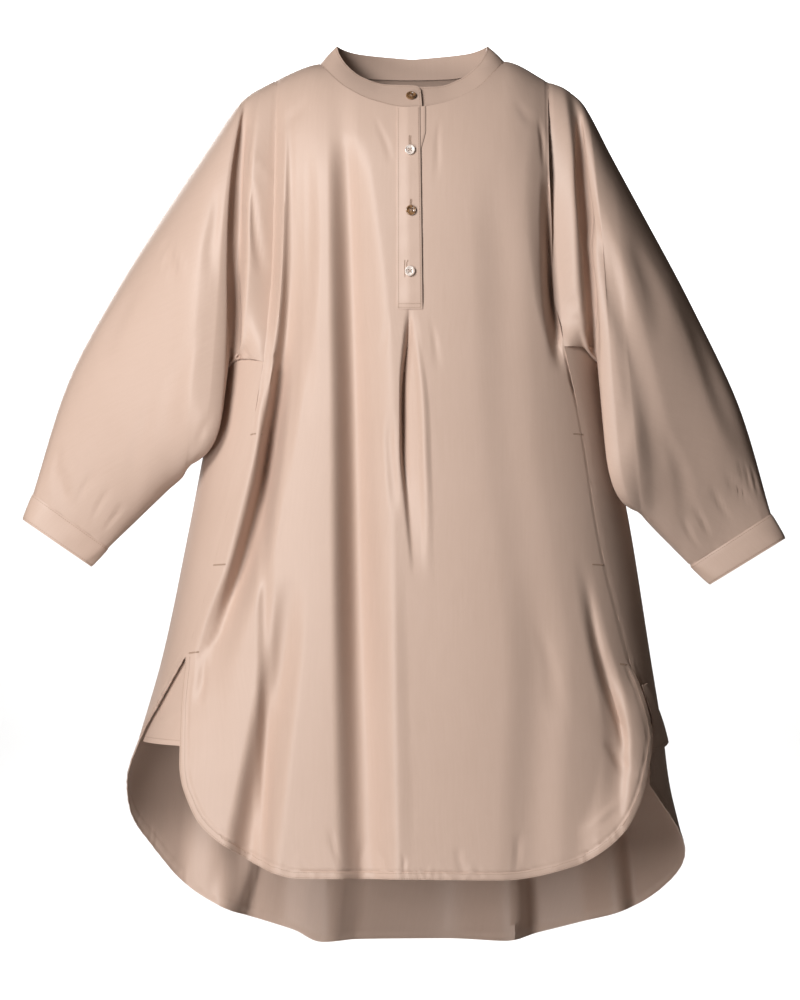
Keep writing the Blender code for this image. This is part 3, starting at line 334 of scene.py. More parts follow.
BACK_CREASES = (
    Crease(-60, 20, -90, 90, 2.4, 9), Crease(66, 20, 96, 96, 2.2, 9), Crease(-20, 16, -26, 66, 1.4, 7),
    Crease(24, 16, 20, 70, 1.4, 7), Crease(-205, 300, -180, 360, 3.0, 8), Crease(206, 300, 184, 362, 3.0, 8),
    Crease(-214, 372, -190, 470, 2.6, 9), Crease(214, 372, 192, 478, 2.6, 9), Crease(-150, 820, -160, 960, 3, 12),
    Crease(60, 700, 52, 900, 2.4, 14), Crease(-246, 640, -220, 742, 3.0, 9), Crease(246, 650, 224, 752, 3.0, 9),
)
SLEEVE_CREASES = {
    Side.LEFT: (
        Crease(-188, 128, -172, 242, 4.0, 9), Crease(-192, 92, -160, 128, -1.8, 6), Crease(-181, 330, -172, 352, 2.4, 4),
        Crease(-196, 322, -184, 350, 2.2, 4), Crease(-206, 316, -198, 344, 2.0, 4), Crease(-290, 200, -270, 246, 2.6, 6),
        Crease(-278, 206, -262, 240, -2.0, 6), Crease(-226, 140, -234, 250, 2.0, 12), Crease(-320, 250, -360, 340, 1.4, 16),
        Crease(-250, 300, -290, 430, 1.4, 18), Crease(-232, 400, -250, 448, 1.6, 10), Crease(-300, 380, -330, 500, 1.4, 16),
        Crease(-434, 462, -392, 492, 3.2, 5), Crease(-430, 482, -384, 512, 2.6, 5), Crease(-424, 452, -398, 470, 2.0, 4),
        Crease(-392, 504, -366, 470, 1.6, 6), Crease(-372, 526, -350, 486, 1.6, 6), Crease(-358, 540, -334, 506, 1.4, 6),
        Crease(-194, 36, -206, 200, 9.0, 9), Crease(-205, 130, -206, 352, 10.0, 9),
    ),
    Side.RIGHT: (
        Crease(308, 250, 404, 471, 3.4, 20), Crease(262, 200, 300, 320, 2.0, 18), Crease(206, 140, 296, 470, 7.0, 24),
        Crease(214, 180, 236, 300, 3.0, 14), Crease(182, 284, 198, 268, 2.4, 5), Crease(186, 298, 204, 284, 2.2, 5),
        Crease(206, 306, 218, 330, 2.2, 6), Crease(196, 60, 204, 200, 3.0, 10), Crease(244, 330, 262, 440, 1.4, 16),
        Crease(300, 420, 330, 530, 1.4, 16), Crease(412, 486, 384, 470, 2.4, 5), Crease(398, 504, 368, 480, 2.2, 5),
        Crease(376, 524, 350, 492, 1.6, 6), Crease(352, 544, 330, 510, 1.6, 6), Crease(338, 560, 316, 524, 1.4, 6),
        Crease(198, 50, 206, 210, 8.0, 8), Crease(204, 160, 216, 345, 8.0, 8),
    ),
}
SLEEVE_BACK_CREASES = {
    Side.LEFT: (
        Crease(-190, 60, -214, 180, 3.0, 12), Crease(-250, 150, -300, 300, 2.6, 16), Crease(-230, 300, -268, 420, 3.0, 14),
        Crease(-320, 330, -370, 450, 2.0, 14), Crease(-400, 480, -376, 452, 1.6, 6), Crease(-372, 510, -346, 476, 1.6, 6),
    ),
    Side.RIGHT: (
        Crease(194, 60, 216, 190, 3.0, 12), Crease(250, 160, 296, 310, 2.6, 16), Crease(230, 320, 262, 450, 3.0, 14),
        Crease(312, 340, 352, 470, 2.0, 14), Crease(392, 500, 370, 470, 1.6, 6), Crease(356, 530, 334, 496, 1.6, 6),
    ),
}

SLEEVES = {
    Side.LEFT: (
        Ring(0.000, -156, 12, -222, 350, 0, 76, 76, 0.86, 49), Ring(0.050, -172, 20, -232, 355, -10, 82, 56, 0.87, 32),
        Ring(0.110, -186, 28, -240, 361, -15, 66, 60, 0.89, 27), Ring(0.145, -196, 36, -257, 458, -40, 88, 64, 0.87, 31),
        Ring(0.180, -205, 46, -261, 464, -36, 96, 67, 0.85, 18), Ring(0.300, -234, 88, -264, 474, -28, 97, 77, 0.74, 4),
        Ring(0.450, -282, 160, -283, 492, -15, 84, 71, 0.62, 0), Ring(0.620, -343, 257, -306, 514, -6, 65, 57, 0.55, 0),
        Ring(0.800, -400, 366, -330, 537, 0, 41, 37, 0.50, 0), Ring(1.000, -441, 496, -353, 559, 0, 17, 17, 0.50, 0),
    ),
    Side.RIGHT: (
        Ring(0.000, 161, 14, 226, 340, 0, 70, 76, 0.86, -46), Ring(0.050, 178, 20, 236, 348, -10, 80, 56, 0.87, -30),
        Ring(0.110, 191, 29, 245, 355, -15, 64, 60, 0.89, -24), Ring(0.145, 201, 38, 264, 514, -45, 86, 64, 0.87, -28),
        Ring(0.180, 209, 50, 269, 518, -40, 94, 67, 0.85, -17), Ring(0.300, 234, 98, 274, 525, -28, 94, 77, 0.74, -4),
        Ring(0.450, 273, 170, 287, 539, -15, 82, 71, 0.62, 0), Ring(0.620, 330, 277, 302, 554, -6, 64, 57, 0.55, 0),
        Ring(0.800, 388, 402, 316, 568, 0, 41, 37, 0.50, 0), Ring(1.000, 422, 519, 328, 580, 0, 17, 17, 0.50, 0),
    ),
}
SLEEVE_STEPS = (0.0, 0.03, 0.06, 0.085, 0.11, 0.1275, 0.145, 0.162, 0.18, 0.22, 0.27, 0.33, 0.41, 0.5, 0.6, 0.7,
                0.8, 0.9, 1.0)
CUFF_EDGE = {Side.LEFT: CuffEdge(-453, 526, -373, 581), Side.RIGHT: CuffEdge(439, 548, 351, 602)}
COLLAR_TOP = (Lean(0, 19), Lean(20, 18), Lean(40, 10), Lean(60, -5), Lean(75, -18), Lean(90, -28),
              Lean(135, -19), Lean(180, -13))
PLACKET_RIGHT = (Edge(0, 11.4), Edge(1, 14.6))
UNDER_RIGHT = (Edge(0, 18), Edge(0.13, 18), Edge(0.22, 12.4), Edge(1, 13))
BUTTONS = (ButtonPlace(1, 34, True, True), ButtonPlace(0, 90, False, False), ButtonPlace(1, 165, False, True),
           ButtonPlace(0, 237, False, False))
GUSSET_BOTTOM = {Side.LEFT: (785, 790), Side.RIGHT: (785, 797)}
GUSSET_LINES = (Line(-0.3, 4.8), Line(0.15, 6.4), Line(0.6, 6.8), Line(0.93, 6.4), Line(1.0, 4.4), Line(0.93, 2.6),
                Line(0.6, 2.2), Line(0.25, 2.2))


# ---------------------------------------------------------------- reading the tables
def smooth(xs: Sequence[float], ys: Sequence[float], x: Array | float) -> Array:
    """A curve through points that never overshoots them.

    Args:
        xs: where the points lie, rising.
        ys: their values.
        x: where the curve is read.

    Returns:
        The curve's values at x.
    """
    xs, ys, x = np.asarray(xs, float), np.asarray(ys, float), np.asarray(x, float)
    rise = np.diff(ys) / np.diff(xs)
    slope = np.zeros(len(xs))
    slope[0], slope[-1] = rise[0], rise[-1]
    same = rise[:-1] * rise[1:] > 0
    both = rise[:-1] + rise[1:]
    slope[1:-1] = np.where(same, 2 * rise[:-1] * rise[1:] / np.where(same, both, 1), 0)
    k = np.clip(np.searchsorted(xs, x) - 1, 0, len(xs) - 2)
    h = xs[k + 1] - xs[k]
    t = np.clip((x - xs[k]) / h, 0, 1)
    return (ys[k] * (1 + 2 * t) * (1 - t) ** 2 + ys[k + 1] * t * t * (3 - 2 * t)
            + slope[k] * h * t * (1 - t) ** 2 - slope[k + 1] * h * t * t * (1 - t))


def column(rows: Sequence[NamedTuple], across: str, name: str, x: Array | float) -> Array:
    """One named column of a table, read smoothly at x in the column called across."""
    return smooth([getattr(r, across) for r in rows], [getattr(r, name) for r in rows], x)


def along(points: Sequence[Sequence[float]], t: Array) -> Array:
    """Places at the shares t of the length of a curve through the points.

    Args:
        points: the curve's own points.
        t: shares of its length.

    Returns:
        One place for each share.
    """
    points = np.asarray(points, float)
    reach = np.concatenate(([0], np.cumsum(np.linalg.norm(np.diff(points, axis=0), axis=1))))
    reach /= reach[-1]
    return np.stack([smooth(reach, points[:, k], t) for k in range(points.shape[1])], -1)


def ease(t: Array | float) -> Array:
    """0 to 1, slow at both ends."""
    t = np.clip(t, 0, 1)
    return t * t * (3 - 2 * t)


def unit(vectors: Array) -> Array:
    """The vectors at length 1."""
    return vectors / np.maximum(np.linalg.norm(vectors, axis=-1, keepdims=True), 1e-12)


def shares(zones: Iterable[Zone]) -> Array:
    """Places from 0 to 1, evenly spaced inside each zone.

    Args:
        zones: the zones, in order.

    Returns:
        The places.
    """
    places, start = [0.0], 0.0
    for zone in zones:
        places += list(np.linspace(start, zone.end, zone.count + 1)[1:])
        start = zone.end
    return np.array(places)


def spanned(top: Array, bottom: Array, left: Array, right: Array, s: Array, t: Array, hold: float) -> Array:
    """A grid between four edges that meet at their corners.

    Args:
        top, bottom: points along s.
        left, right: points along t.
        s, t: the shares of the columns and the rows.
        hold: how near the sides their own shape stays, 1 being all across.

    Returns:
        The grid's points.
    """
    s, t = s[None, :, None], t[:, None, None]
    base = (1 - t) * top[None] + t * bottom[None]
    return (base + (1 - s) ** hold * (left[:, None] - base[:, :1])
            + s ** hold * (right[:, None] - base[:, -1:]))


def grid_normals(grid: Array, closed: bool) -> Array:
    """A unit normal at each point of a grid that may have holes: the mean of the faces round the point.

    Args:
        grid: the grid's points.
        closed: whether its last column meets its first.

    Returns:
        The normals.
    """
    if closed:
        grid = np.concatenate([grid, grid[:, :1]], axis=1)
    faces = np.cross(grid[1:, 1:] - grid[:-1, :-1], grid[:-1, 1:] - grid[1:, :-1])
    faces = np.nan_to_num(unit(faces))
    total = np.zeros_like(grid)
    for rows in (slice(None, -1), slice(1, None)):
        for columns in (slice(None, -1), slice(1, None)):
            total[rows, columns] += faces
    if closed:
        total[:, 0] += total[:, -1]
        total = total[:, :-1]
    return unit(total)


def troughs(folds: Folds, x: Array, drop: Array) -> Array:
    """How far a set of long folds goes in at each point.

    Args:
        folds: the folds by name.
        x, drop: the points.

    Returns:
        The depth at each point.
    """
    total = np.zeros(np.broadcast(x, drop).shape)
    for knots in folds.values():
        row = {name: column(knots, "drop", name, drop) for name in ("x", "deep", "rise", "run")}
        off = x - row["x"]
        inside = np.clip(np.abs(off) / np.where(off < 0, row["rise"], row["run"]), 0, 1)
        total = total + row["deep"] * 0.5 * (1 + np.cos(np.pi * inside))
    return total


# ---------------------------------------------------------------- the finishes
@dataclass(frozen=True)
class Sateen:
    """Cotton sateen: a smooth face with a soft sheen, fine yarns and a little unevenness in its colour."""

    name: str = "sateen"
    light: tuple[float, float, float] = (0.60, 0.440, 0.360)
    deep: tuple[float, float, float] = (0.51, 0.360, 0.280)
    roughness: float = 0.46
    specular: float = 0.32
    sheen: float = 0.12
    sheen_roughness: float = 0.38
    yarns_per_metre: float = 2400.0
    yarn_bump: float = 0.12
    crumple_bump: float = 0.22

    def material(self) -> bpy.types.Material:
        """The node material of this cloth, made once.

        Returns:
            The material, with its yarns laid along the cloth's own directions.
        """
        made = bpy.data.materials.get(f"cloth_{self.name}")
        if made:
            return made
        made = bpy.data.materials.new(f"cloth_{self.name}")
        made.use_nodes = True
        nodes, links = made.node_tree.nodes, made.node_tree.links
        shader = nodes["Principled BSDF"]
        shader.inputs["Specular IOR Level"].default_value = self.specular
        shader.inputs["Sheen Weight"].default_value = self.sheen
        shader.inputs["Sheen Roughness"].default_value = self.sheen_roughness
        shader.inputs["Sheen Tint"].default_value = (1.0, 0.86, 0.80, 1)
        place = nodes.new("ShaderNodeTexCoord")
        yarns = []
        for direction in ("X", "Y"):
            wave = nodes.new("ShaderNodeTexWave")
            wave.bands_direction = direction
            wave.inputs["Scale"].default_value = self.yarns_per_metre * math.pi / 10
            wave.inputs["Distortion"].default_value = 1.4
            wave.inputs["Detail"].default_value = 1.0
            wave.inputs["Detail Scale"].default_value = 0.6
            links.new(place.outputs["UV"], wave.inputs["Vector"])
            yarns.append(wave)
        weave = nodes.new("ShaderNodeMath")
        weave.operation = "MULTIPLY"
        links.new(yarns[0].outputs["Fac"], weave.inputs[0])
        links.new(yarns[1].outputs["Fac"], weave.inputs[1])
        cloud = self._noise(nodes, links, place.outputs["Object"], 9.0, 4.0)
        slub = self._noise(nodes, links, self._stretched(nodes, links, place.outputs["UV"], (420, 16, 1)), 1.0, 2.0)
        tone = nodes.new("ShaderNodeMix")
        tone.data_type = "RGBA"
        tone.inputs["A"].default_value = (*self.deep, 1)
        tone.inputs["B"].default_value = (*self.light, 1)
        blend = nodes.new("ShaderNodeMath")
        blend.operation = "MULTIPLY_ADD"
        blend.inputs[1].default_value = 0.45
        links.new(cloud, blend.inputs[0])
        share = nodes.new("ShaderNodeMath")
        share.operation = "MULTIPLY_ADD"
        share.inputs[1].default_value = 0.35
        share.inputs[2].default_value = 0.15
        links.new(slub, share.inputs[0])
        links.new(share.outputs[0], blend.inputs[2])
        links.new(blend.outputs[0], tone.inputs["Factor"])
        yarn_tone = nodes.new("ShaderNodeMix")
        yarn_tone.data_type = "RGBA"
        yarn_tone.blend_type = "MULTIPLY"
        yarn_tone.inputs["Factor"].default_value = 0.10
        links.new(tone.outputs["Result"], yarn_tone.inputs["A"])
        links.new(weave.outputs[0], yarn_tone.inputs["B"])
        links.new(yarn_tone.outputs["Result"], shader.inputs["Base Color"])
        rough = nodes.new("ShaderNodeMapRange")
        rough.inputs["To Min"].default_value = self.roughness - 0.05
        rough.inputs["To Max"].default_value = self.roughness + 0.07
        links.new(slub, rough.inputs["Value"])
        links.new(rough.outputs["Result"], shader.inputs["Roughness"])
        crumple = self._noise(nodes, links, self._stretched(nodes, links, place.outputs["Object"], (55, 55, 24)), 1.0, 3.0)
        soft = self._bump(nodes, links, crumple, self.crumple_bump, 0.0012, None)
        fine = self._bump(nodes, links, weave.outputs[0], self.yarn_bump, 0.00012, soft)
        links.new(fine, shader.inputs["Normal"])
        return made

    @staticmethod
    def _noise(nodes: bpy.types.Nodes, links: bpy.types.NodeLinks, vector: bpy.types.NodeSocket, scale: float,
               detail: float) -> bpy.types.NodeSocket:
        """A cloudy pattern over the given places.

        Args:
            nodes, links: the material's nodes and links.
            vector: the places.
            scale: how fine the pattern is.
            detail: how much finer pattern it carries.

        Returns:
            The pattern's output.
        """
        noise = nodes.new("ShaderNodeTexNoise")
        noise.inputs["Scale"].default_value = scale
        noise.inputs["Detail"].default_value = detail
        links.new(vector, noise.inputs["Vector"])
        return noise.outputs["Fac"]

    @staticmethod
    def _stretched(nodes: bpy.types.Nodes, links: bpy.types.NodeLinks, vector: bpy.types.NodeSocket,
                   scale: tuple[float, float, float]) -> bpy.types.NodeSocket:
        """The places drawn out differently along each direction.

        Args:
            nodes, links: the material's nodes and links.
            vector: the places.
            scale: the factor along each direction.

        Returns:
            The new places.
        """
        mapping = nodes.new("ShaderNodeMapping")
        mapping.inputs["Scale"].default_value = scale
        links.new(vector, mapping.inputs["Vector"])
        return mapping.outputs["Vector"]

    @staticmethod
    def _bump(nodes: bpy.types.Nodes, links: bpy.types.NodeLinks, height: bpy.types.NodeSocket, strength: float,
              distance: float, under: bpy.types.NodeSocket | None) -> bpy.types.NodeSocket:
        """A relief of the given height, on top of another one where there is one.

        Args:
            nodes, links: the material's nodes and links.
            height: the relief's pattern.
            strength: how strongly it shows.
            distance: its height in metres.
            under: the relief below it.

        Returns:
            The turned normal.
        """
        bump = nodes.new("ShaderNodeBump")
        bump.inputs["Strength"].default_value = strength
        bump.inputs["Distance"].default_value = distance
        links.new(height, bump.inputs["Height"])
        if under is not None:
            links.new(under, bump.inputs["Normal"])
        return bump.outputs["Normal"]


@dataclass(frozen=True)
class Polished:
    """A polished button material with soft mottling."""

    name: str
    light: tuple[float, float, float]
    dark: tuple[float, float, float]
    roughness: float = 0.22

    def material(self) -> bpy.types.Material:
        """The node material of this finish, made once.

        Returns:
            The material.
        """
        made = bpy.data.materials.get(f"finish_{self.name}")
        if made:
            return made
        made = bpy.data.materials.new(f"finish_{self.name}")
        made.use_nodes = True
        nodes, links = made.node_tree.nodes, made.node_tree.links
        shader = nodes["Principled BSDF"]
        shader.inputs["Roughness"].default_value = self.roughness
        shader.inputs["Coat Weight"].default_value = 0.4
        place = nodes.new("ShaderNodeTexCoord")
        noise = nodes.new("ShaderNodeTexNoise")
        noise.inputs["Scale"].default_value = 260
        noise.inputs["Detail"].default_value = 3
        links.new(place.outputs["Object"], noise.inputs["Vector"])
        ramp = nodes.new("ShaderNodeValToRGB")
        ramp.color_ramp.elements[0].position = 0.38
        ramp.color_ramp.elements[0].color = (*self.dark, 1)
        ramp.color_ramp.elements[1].position = 0.62
        ramp.color_ramp.elements[1].color = (*self.light, 1)
        links.new(noise.outputs["Fac"], ramp.inputs["Fac"])
        links.new(ramp.outputs["Color"], shader.inputs["Base Color"])
        return made


SATEEN = Sateen()
THREAD = Sateen(name="thread", light=(0.44, 0.30, 0.22), deep=(0.34, 0.23, 0.17), roughness=0.5)
SHELL = Polished("button_shell", (0.80, 0.72, 0.66), (0.55, 0.44, 0.38))
TORTOISE = Polished("button_tortoise", (0.30, 0.16, 0.07), (0.07, 0.035, 0.02))
Finish = Sateen | Polished


# ---------------------------------------------------------------- meshes
def dressed(name: str, data: bpy.types.Mesh, finish: Finish, slot: str, *nodes: str) -> bpy.types.Object:
    """Puts a mesh into the scene on the dress's body.

    Args:
        name: the piece's name.
        data: its mesh.
        finish: its material.
        slot: the material slot of the record; not used.
        nodes: the solids it stands for.

    Returns:
        The piece.
    """
    data.materials.append(finish.material())
    item = bpy.data.objects.new(name, data)
    bpy.context.scene.collection.objects.link(item)
    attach(item, BODY)
    if nodes:
        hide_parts(*nodes)
    LOG.info("%s: %d faces", name, len(data.polygons))
    return item


@dataclass
class Shell:
    """A thin closed piece of cloth: a grid of outer points and the same grid moved in."""

    name: str
    grid: Array
    normals: Array
    closed: bool = False
    thick: float = 0.9
    piece: bpy.types.Object | None = None

    def uv(self) -> Array:
        """The cloth's own coordinates in metres.

        Returns:
            A pair for each point, with one more column on a closed grid.
        """
        grid = np.concatenate([self.grid, self.grid[:, :1]], axis=1) if self.closed else self.grid
        across = np.linalg.norm(np.nan_to_num(np.diff(grid, axis=1)), axis=-1)
        down = np.linalg.norm(np.nan_to_num(np.diff(grid, axis=0)), axis=-1)
        u = np.concatenate([np.zeros((len(grid), 1)), np.cumsum(across, axis=1)], axis=1)
        v = np.concatenate([np.zeros((1, grid.shape[1])), np.cumsum(down, axis=0)], axis=0)
        middle = u[:, u.shape[1] // 2:u.shape[1] // 2 + 1]
        return np.stack([u - middle, v], -1) * MM

    def build(self, finish: Finish, slot: str, *nodes: str) -> bpy.types.Object:
        """Makes the mesh.

        Args:
            finish: its material.
            slot: the material slot of the record.
            nodes: the solids it stands for.

        Returns:
            The piece.
        """
        rows, columns = self.grid.shape[:2]
        present = ~np.isnan(self.grid[..., 0])
        index = np.full((rows, columns), -1)
        index[present] = np.arange(present.sum())
        count = int(present.sum())
        outer = self.grid[present]
        inner = outer - self.normals[present] * self.thick
        wide = np.concatenate([index, index[:, :1]], axis=1) if self.closed else index
        a, b, c, d = wide[:-1, :-1], wide[1:, :-1], wide[1:, 1:], wide[:-1, 1:]
        cell = (a >= 0) & (b >= 0) & (c >= 0) & (d >= 0)
        quads = np.stack([a, b, c, d], -1)
        faces = [quads[cell], quads[cell][:, ::-1] + count]
        beside = self._beside(cell)
        for side, (one, two) in zip(beside, ((a, b), (b, c), (c, d), (d, a))):
            free = cell & ~side
            faces.append(np.stack([two[free], one[free], one[free] + count, two[free] + count], -1))
        faces = np.concatenate(faces)
        data = bpy.data.meshes.new(self.name)
        data.from_pydata((np.concatenate([outer, inner]) * MM).tolist(), [], faces.tolist())
        mesh = bmesh.new()
        mesh.from_mesh(data)
        bmesh.ops.recalc_face_normals(mesh, faces=mesh.faces[:])
        mesh.to_mesh(data)
        mesh.free()
        self._lay_uv(data, present, columns)
        data.shade_smooth()
        data.set_sharp_from_angle(angle=math.radians(55))
        self.piece = dressed(self.name, data, finish, slot, *nodes)
        return self.piece

    def _beside(self, cell: Array) -> tuple[Array, Array, Array, Array]:
        """Looks for each cell's neighbours.

        Args:
            cell: which cells are cloth.

        Returns:
            Whether there is cloth on the left, below, on the right and above.
        """
        left = np.roll(cell, 1, axis=1)
        right = np.roll(cell, -1, axis=1)
        below, above = np.roll(cell, -1, axis=0), np.roll(cell, 1, axis=0)
        below[-1], above[0] = False, False
        if not self.closed:
            left[:, 0], right[:, -1] = False, False
        return left, below, right, above

    def _lay_uv(self, data: bpy.types.Mesh, present: Array, columns: int) -> None:
        """Writes the cloth's coordinates to each face corner, and past the last column on a closed grid.

        Args:
            data: the mesh.
            present: which points of the grid are cloth.
            columns: how many columns the grid has.
        """
        uv = self.uv()
        last = np.repeat(uv[:, -1:], columns, axis=1)
        first = uv[:, :columns]
        place = np.tile(first[present], (2, 1))
        beyond = np.tile(last[present], (2, 1))
        which = np.tile(np.broadcast_to(np.arange(columns), present.shape)[present], 2)
        corner = np.zeros(len(data.loops), int)
        data.loops.foreach_get("vertex_index", corner)
        size = np.zeros(len(data.polygons), int)
        data.polygons.foreach_get("loop_total", size)
        face = np.repeat(np.arange(len(size)), size)
        furthest = np.zeros(len(size), int)
        np.maximum.at(furthest, face, which[corner])
        wraps = self.closed & (furthest[face] == columns - 1) & (which[corner] == 0)
        values = np.where(wraps[:, None], beyond[corner], place[corner])
        layer = data.uv_layers.new(name="cloth")
        layer.data.foreach_set("uv", values.astype(np.float32).ravel())

    def tree(self) -> BVHTree:
        """A search tree of the outer face, in millimetres.

        Returns:
            The tree.
        """
        wide = np.concatenate([self.grid, self.grid[:, :1]], axis=1) if self.closed else self.grid
        rows, columns = wide.shape[:2]
        k = np.arange(rows * columns).reshape(rows, columns)
        quads = np.stack([k[:-1, :-1], k[1:, :-1], k[1:, 1:], k[:-1, 1:]], -1).reshape(-1, 4)
        whole = ~np.isnan(wide.reshape(-1, 3)[quads, 0]).any(1)
        points = np.nan_to_num(wide.reshape(-1, 3), nan=9999.0)
        return BVHTree.FromPolygons(points.tolist(), quads[whole].tolist())

    def press(self, deep: Array) -> None:
        """Moves the outer points in, and turns the normals to match.

        Args:
            deep: how far each point goes in.
        """
        signs = (grid_normals(self.grid, self.closed) * self.normals).sum(-1)
        sign = 1.0 if np.nansum(signs) > 0 else -1.0
        self.grid = self.grid - self.normals * deep[..., None]
        self.normals = sign * grid_normals(self.grid, self.closed)

    def crease(self, creases: Iterable[Crease], front: bool) -> None:
        """Presses creases into one side of the piece.

        Args:
            creases: the creases.
            front: whether they lie on the side that faces the front.
        """
        toward = self.normals[..., 1] * (-1 if front else 1)
        share = ease((toward + 0.05) / 0.45)
        x, drop = self.grid[..., 0], -self.grid[..., 2]
        total = np.zeros_like(x)
        for fold in creases:
            way = np.array([fold.end_x - fold.x, fold.end_drop - fold.drop], float)
            reach = np.hypot(*way)
            way /= reach
            t = ((x - fold.x) * way[0] + (drop - fold.drop) * way[1]) / reach
            off = (x - fold.x) * -way[1] + (drop - fold.drop) * way[0]
            off = off + 0.12 * fold.wide * np.sin(t * 7 + fold.x)
            width = fold.wide * (0.6 + 0.6 * np.clip(t, 0, 1))
            bell = 0.5 * (1 + np.cos(np.pi * np.clip(np.abs(off) / width, 0, 1)))
            total = total + fold.deep * bell * np.sin(np.pi * np.clip(t, 0, 1)) ** 0.8
        self.press(np.nan_to_num(total * share))


@dataclass
class EdgeFinish:
    """How a sewn or turned edge shapes the cloth beside it."""

    band: float          # how far the turned edge reaches
    proud: float         # how far it stands out
    groove: float        # how deep its stitching pulls in
    pucker: float        # how high the puckers beside the stitching are
    spacing: float       # how far apart they are
    seed: int = 3

    def press(self, shell: Shell, edge: Array) -> None:
        """Shapes the cloth beside an edge.

        Args:
            shell: the piece.
            edge: points along the edge, in millimetres.
        """
        reach = np.concatenate(([0], np.cumsum(np.linalg.norm(np.diff(edge, axis=0), axis=1))))
        dense = np.arange(0, reach[-1], 1.0)
        points = np.stack([np.interp(dense, reach, edge[:, k]) for k in range(3)], -1)
        tree = KDTree(len(points))
        for k, point in enumerate(points):
            tree.insert(point, k)
        tree.balance()
        far = self.band + 14
        deep = np.zeros(shell.grid.shape[:2])
        rng = np.random.default_rng(self.seed)
        knots = np.arange(0, reach[-1] + self.spacing, self.spacing)
        knots = knots + rng.uniform(-0.35, 0.35, len(knots)) * self.spacing
        heights = rng.uniform(0.25, 1.0, len(knots))
        lean = rng.uniform(-0.6, 0.9, len(knots))
        for spot in np.ndindex(deep.shape):
            point = shell.grid[spot]
            if np.isnan(point[0]):
                continue
            _, k, off = tree.find(point)
            if off > far:
                continue
            place = dense[k]
            near = min(int(np.searchsorted(knots, place)), len(knots) - 1)
            wave = 0.0
            for one in (near - 1, near):
                if one >= 0:
                    gap = (place - knots[one] + lean[one] * (off - self.band)) / (self.spacing * 0.55)
                    wave += heights[one] * math.exp(-gap * gap * 2.2)
            lift = self.proud * float(ease((self.band + 0.8 - off) / 1.6)) if self.proud else 0.0
            stitch = self.groove * math.exp(-((off - self.band - 0.4) / 1.4) ** 2)
            side = math.exp(-((off - self.band * 0.75) / (self.band * 0.75 + 2.5)) ** 2)
            deep[spot] = stitch - lift - self.pucker * wave * side
        shell.press(deep)


@dataclass
class Stitching:
    """Rows of machine stitches, gathered into one piece."""

    name: str
    pitch: float = 3.0
    length: float = 2.2
    radius: float = 0.28
    sides: int = 6
    vertices: list[tuple[float, float, float]] = field(default_factory=list)
    faces: list[tuple[int, ...]] = field(default_factory=list)

    def stitch(self, middle: Array, way: Array, out: Array, length: float, radius: float) -> None:
        """Adds one stitch: a thin rounded bar that sinks in at both ends.

        Args:
            middle: its middle, on the cloth.
            way, out: unit vectors along it and out of the cloth.
            length: its length.
            radius: its thickness.
        """
        across = np.cross(out, way)
        start = len(self.vertices)
        steps = ((-0.5, -0.9, 0.35), (-0.36, 0.15, 0.95), (0.0, 0.5, 1.0), (0.36, 0.15, 0.95), (0.5, -0.9, 0.35))
        for t, lift, fat in steps:
            centre = middle + way * t * length + out * lift * radius
            for k in range(self.sides):
                a = 2 * math.pi * k / self.sides
                spot = centre + (across * math.cos(a) + out * math.sin(a)) * radius * fat
                self.vertices.append(tuple(spot * MM))
        for i in range(len(steps) - 1):
            for k in range(self.sides):
                n = (k + 1) % self.sides
                low, high = start + i * self.sides, start + (i + 1) * self.sides
                self.faces.append((low + k, low + n, high + n, high + k))
        self.faces.append(tuple(start + k for k in reversed(range(self.sides))))
        self.faces.append(tuple(start + (len(steps) - 1) * self.sides + k for k in range(self.sides)))

    def row(self, line: Array, tree: BVHTree, normals: Array | None = None) -> None:
        """Stitches along a line that lies close to the cloth.

        Args:
            line: the line's points.
            tree: the cloth's outer face.
            normals: the way out of the cloth at each point, to take the right side of the cloth.
        """
        reach = np.concatenate(([0], np.cumsum(np.linalg.norm(np.diff(line, axis=0), axis=1))))
        places = np.arange(self.pitch / 2, reach[-1], self.pitch)
        middle = np.stack([np.interp(places, reach, line[:, k]) for k in range(3)], -1)
        ahead = np.stack([np.interp(places + 0.6, reach, line[:, k]) for k in range(3)], -1)
        guide = None
        if normals is not None:
            guide = np.stack([np.interp(places, reach, normals[:, k]) for k in range(3)], -1)
        for k in range(len(places)):
            found, normal, _, _ = tree.find_nearest(middle[k])
            if found is None:
                continue
            out = np.array(normal)
            if guide is not None and out @ guide[k] < 0:
                out = -out
            way = ahead[k] - middle[k]
            way = way - out * (way @ out)
            if np.linalg.norm(way) < 1e-6:
                continue
            self.stitch(np.array(found), unit(way), out, self.length, self.radius)

    def tack(self, start: Array, end: Array, tree: BVHTree, wide: float) -> None:
        """A bar tack: close stitches across a short line.

        Args:
            start, end: the ends of the line, close to the cloth.
            tree: the cloth's outer face.
            wide: how long each stitch is.
        """
        way = unit(end - start)
        for t in np.arange(0, np.linalg.norm(end - start), 0.5):
            found, normal, _, _ = tree.find_nearest(start + way * t)
            out = np.array(normal) * (-1 if normal[1] > 0 else 1)
            self.stitch(np.array(found), unit(np.cross(out, way)), out, wide, 0.3)

    def build(self, finish: Finish = THREAD) -> bpy.types.Object | None:
        """Makes the piece from all of its stitches.

        Args:
            finish: the thread's material.

        Returns:
            The piece, or nothing where there are no stitches.
        """
        if not self.faces:
            return None
        data = bpy.data.meshes.new(self.name)
        data.from_pydata(self.vertices, [], self.faces)
        data.shade_smooth()
        return dressed(self.name, data, finish, "sateen")


